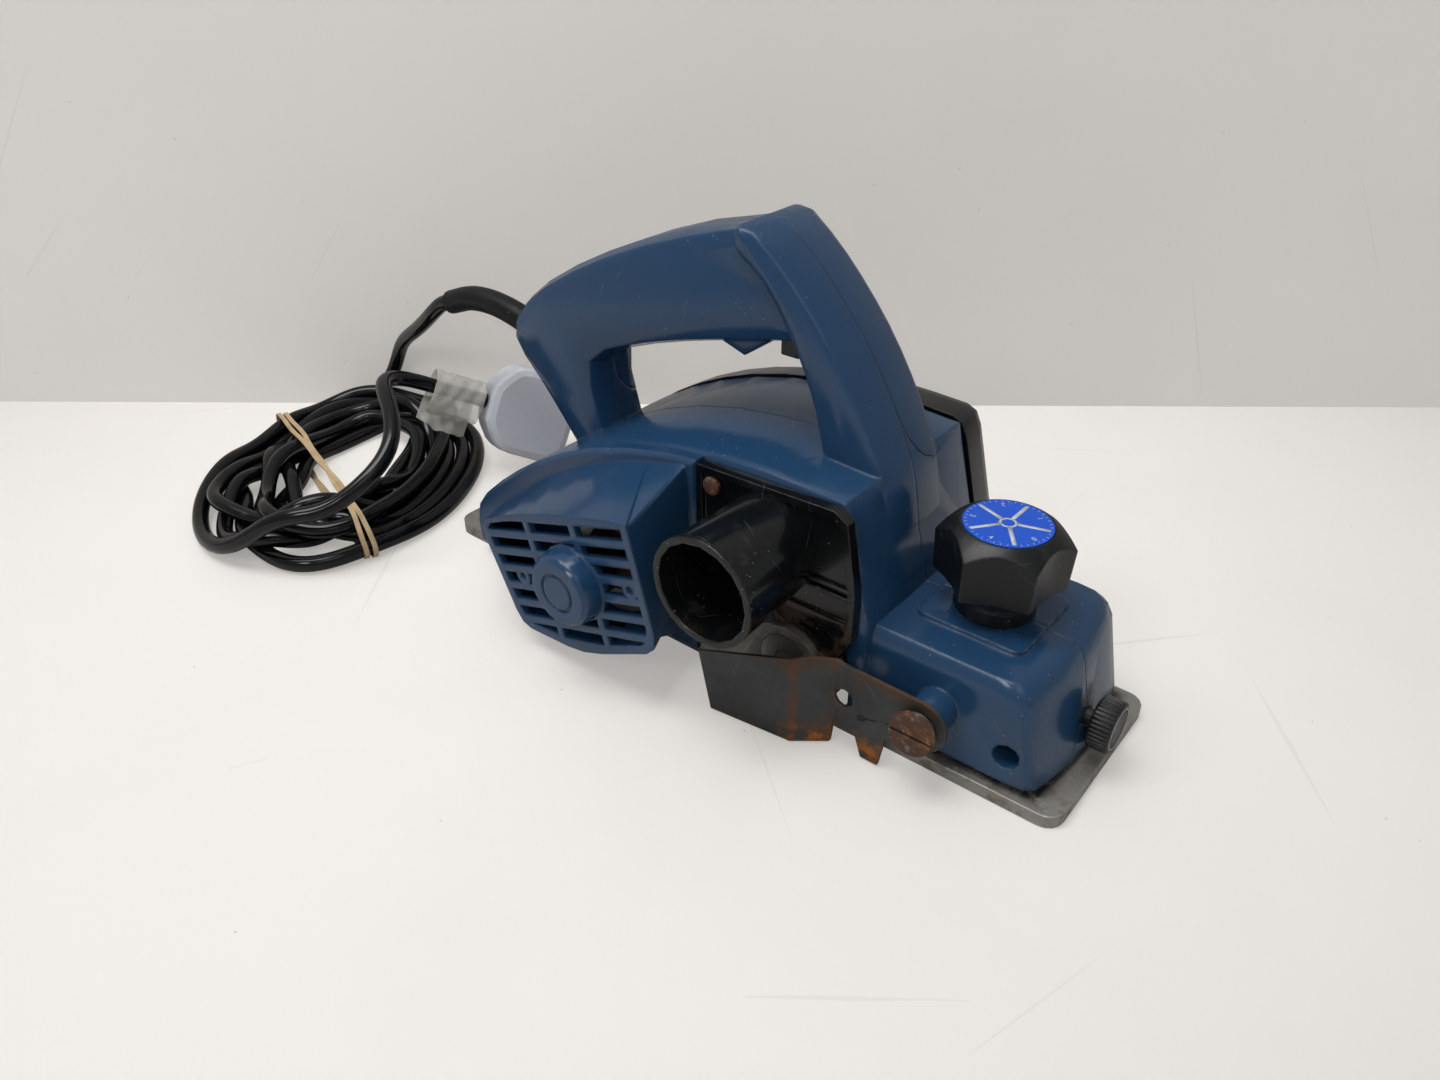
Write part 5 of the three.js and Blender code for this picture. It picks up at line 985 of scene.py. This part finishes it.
# Dial: five painted lines, a ring, ticks and plain numbers
DIAL_RADIUS, DIAL_THICKNESS, DIAL_MIDDLE = 15.8, 0.9, 84.75
PAINT_PLACE = KNOB_PLACE + Vector((0, 0, 85.24))
FIRST_LINE, LINES, TICKS = math.radians(-55.6), 5, 40
# Each mark's inner and outer end, and its width
LINE, LONG_TICK, SHORT_TICK = (2.9, 14.4, 1.5), (14.2, 15.2, 0.22), (14.2, 14.9, 0.22)
RING_INNER, RING_OUTER, RING_STEPS = 2.3, 3.2, 48
NUMBER_OUT, NUMBER_SIZE = 12.4, 3.1


def dial_disc():
    bm = bmesh.new()
    bmesh.ops.create_cone(
        bm, cap_ends=True, segments=96, radius1=DIAL_RADIUS, radius2=DIAL_RADIUS, depth=DIAL_THICKNESS,
        matrix=Matrix.Translation((KNOB_PLACE.x, 0, DIAL_MIDDLE)),
    )
    return bm


def painted_strip(bm, turn, low, high, wide):
    ahead = Vector((math.cos(turn), math.sin(turn), 0))
    aside = Vector((-ahead.y, ahead.x, 0)) * wide / 2
    bm.faces.new([
        bm.verts.new(PAINT_PLACE + ahead * reach + aside * side)
        for reach, side in ((low, -1), (high, -1), (high, 1), (low, 1))
    ])


def dial_marks():
    bm = bmesh.new()
    for i in range(LINES):
        painted_strip(bm, FIRST_LINE + i * 2 * math.pi / LINES, *LINE)
    for i in range(TICKS):
        painted_strip(bm, FIRST_LINE + i * 2 * math.pi / TICKS, *(LONG_TICK if i % 4 else SHORT_TICK))
    for i in range(RING_STEPS):
        a, b = 2 * math.pi * i / RING_STEPS, 2 * math.pi * (i + 1) / RING_STEPS
        bm.faces.new([
            bm.verts.new(PAINT_PLACE + Vector((reach * math.cos(turn), reach * math.sin(turn), 0)))
            for reach, turn in ((RING_INNER, a), (RING_OUTER, a), (RING_OUTER, b), (RING_INNER, b))
        ])
    for i in range(LINES):
        turn = FIRST_LINE + (i + 0.5) * 2 * math.pi / LINES
        letters = bpy.data.curves.new("dial_number", "FONT")
        letters.body = str(i)
        letters.size = NUMBER_SIZE
        letters.align_x = letters.align_y = "CENTER"
        writer = bpy.data.objects.new("dial_number", letters)
        flat = bpy.data.meshes.new_from_object(writer)
        out = Vector((NUMBER_OUT * math.cos(turn), NUMBER_OUT * math.sin(turn), 0))
        flat.transform(Matrix.Translation(PAINT_PLACE + out) @ Matrix.Rotation(turn + math.pi / 2, 4, "Z"))
        bm.from_mesh(flat)
        bpy.data.meshes.remove(flat)
        bpy.data.objects.remove(writer)
        bpy.data.curves.remove(letters)
    return bm


finished("dial_disc", dial_disc(), "knob_dial", "dial", ["knob_dial"], 30, [edged(0.15)])
finished("dial_marks", dial_marks(), "knob_dial", "dial_paint", ["knob_dial"], 30, [thickened(0.04)])


# Clear tag wrapped loosely round the cord beside the plug, with one corner hanging
TAG_SECTION = [
    (-6.6, -25), (-8, -19), (-9.2, -11), (-9.2, -4), (-8.6, 2), (-6.6, 6.4), (-2.6, 8.4), (2.4, 8),
    (6, 5.4), (7.6, 0.8), (7.6, -5), (6.4, -10), (3.4, -13.4),
]
TAG_ROWS, TAG_FROM_PLUG, TAG_HANGING = 40, 2.5, 20


def tag_sheet():
    bm = bmesh.new()
    side = ALONG_Z.cross(PLUG_OUT).normalized()
    up = PLUG_OUT.cross(side)
    start = PLUG_PLACE + PLUG_OUT * (PLUG_REACH + TAG_FROM_PLUG)
    section = spaced([(*spot, 0) for spot in TAG_SECTION], 0.8)[:, :2].tolist()
    rings = []
    for i in range(TAG_ROWS + 1):
        along = TAG_LENGTH * i / TAG_ROWS
        ring = []
        for k, (a, b) in enumerate(section):
            crumple = math.sin(0.5 * along + 0.35 * k) * math.sin(0.23 * k + 1)
            crumple += 0.6 * math.sin(0.9 * along - 0.3 * k)
            hang = max(0, (TAG_HANGING - k) / TAG_HANGING) * (2.4 * math.sin(along / 7) - 0.1 * along)
            aside = side * (a * (1 + crumple * 0.04) + hang * 0.8)
            ring.append(bm.verts.new(
                start + PLUG_OUT * along + (aside + up * (b * (1 + crumple * 0.03) - 0.5 * hang))))
        rings.append(ring)
    for ring, following in zip(rings, rings[1:]):
        for k in range(len(section) - 1):
            bm.faces.new((ring[k], following[k], following[k + 1], ring[k + 1]))
    return bm


tag = finished("tag_sheet", tag_sheet(), "cord_tag", "tag", ["cord_tag"], 80, [thickened(0.22)])
plug_pieces = [dressed(node, "plug", 0.5, 13) for node in ("plug_cover", "plug_body")]
plug_pieces += [dressed(f"plug_pin_{pin}", "brass", 0.35, 25) for pin in ("earth", "live", "neutral")]


# Floor or wall: paler to the eye near the wall's foot, and clear when it is seen from behind
def stage_plane(name, corners, foot, color, roughness, glow, marks):
    bm = bmesh.new()
    bm.faces.new([bm.verts.new(corner) for corner in corners])
    mesh = bpy.data.meshes.new(name)
    bm.to_mesh(mesh)
    bm.free()
    plane = bpy.data.objects.new(name, mesh)
    scene.collection.objects.link(plane)
    skin = Finish(name, color, roughness)
    skin.layer(skin.patches(5, 0.45, 0.3), tuple(0.95 * c for c in color), amount=0.7)
    skin.layer(skin.scratches(14, 0.0007, 0.7), tuple(0.86 * c for c in color), amount=marks)
    skin.layer(skin.specks(70, 0.035), tuple(0.45 * c for c in color), amount=marks)
    mesh.materials.append(skin.done())
    tree, shader = skin.tree, skin.shader
    to_camera = tree.nodes.new("ShaderNodeLightPath").outputs["Is Camera Ray"]
    place = tree.nodes.new("ShaderNodeNewGeometry")
    away = vector(tree, "DISTANCE", place.outputs["Position"], foot)["Value"]
    level = ranged(tree, away, 0, 0.5, To_Min=glow[0], To_Max=glow[1])
    feed(tree, shader.inputs["Emission Strength"], scalar(tree, "MULTIPLY", to_camera, level))
    feed(tree, shader.inputs["Emission Color"], skin.color)
    behind = scalar(tree, "MULTIPLY", to_camera, place.outputs["Backfacing"])
    clear = tree.nodes.new("ShaderNodeBsdfTransparent")
    inputs = enumerate((behind, shader.outputs[0], clear.outputs[0]))
    either = add_node(tree, "ShaderNodeMixShader", inputs)
    tree.links.new(either.outputs[0], tree.nodes["Material Output"].inputs["Surface"])


# The wall stands square to the view, behind the object
WALL_FROM_CAMERA, WALL_HEIGHT = 0.592, 1.6
FLOOR_BEFORE_WALL, FLOOR_BEHIND_WALL = 1.3, 0.9


def make_backdrop():
    ahead = Vector((-LEVEL_RIGHT.y, LEVEL_RIGHT.x, 0))
    foot = Vector((CAMERA_PLACE.x, CAMERA_PLACE.y, 0)) + ahead * WALL_FROM_CAMERA
    near, far = foot - ahead * FLOOR_BEFORE_WALL, foot + ahead * FLOOR_BEHIND_WALL
    stage_plane(
        "floor", [near - LEVEL_RIGHT, near + LEVEL_RIGHT, far + LEVEL_RIGHT, far - LEVEL_RIGHT], foot,
        (0.6, 0.578, 0.551), 0.5, (0.8, 0.36), 0.5,
    )
    left, right, high = foot - LEVEL_RIGHT, foot + LEVEL_RIGHT, Vector((0, 0, WALL_HEIGHT))
    stage_plane(
        "wall", [left, right, right + high, left + high], foot, (0.6, 0.578, 0.55), 0.6, (0.41, 0.41), 0.4,
    )


make_backdrop()


# Broad soft lamp, aimed at a target
def area_lamp(name, place, target, size, power):
    data = bpy.data.lights.new(name, "AREA")
    data.shape = "RECTANGLE"
    data.size, data.size_y = size
    data.energy = power
    lamp = bpy.data.objects.new(name, data)
    lamp.location = place
    lamp.rotation_euler = (Vector(target) - Vector(place)).to_track_quat("-Z", "Y").to_euler()
    scene.collection.objects.link(lamp)


area_lamp("key_lamp", (-0.45, -0.1, 1.5), (0, 0, 0.05), (1.4, 1.2), 30)
area_lamp("fill_lamp", (1.0, -0.9, 1.5), (0, 0, 0.05), (1.0, 1.0), 2.5)
area_lamp("window_lamp", (0.05, -1.2, 0.95), (0, 0, 0.08), (0.35, 0.22), 2.4)
world = bpy.data.worlds.new("world")
world.use_nodes = True
background = world.node_tree.nodes["Background"]
background.inputs["Color"].default_value = (1, 1, 1, 1)
background.inputs["Strength"].default_value = 0.28
scene.world = world
scene.view_settings.view_transform = "Standard"
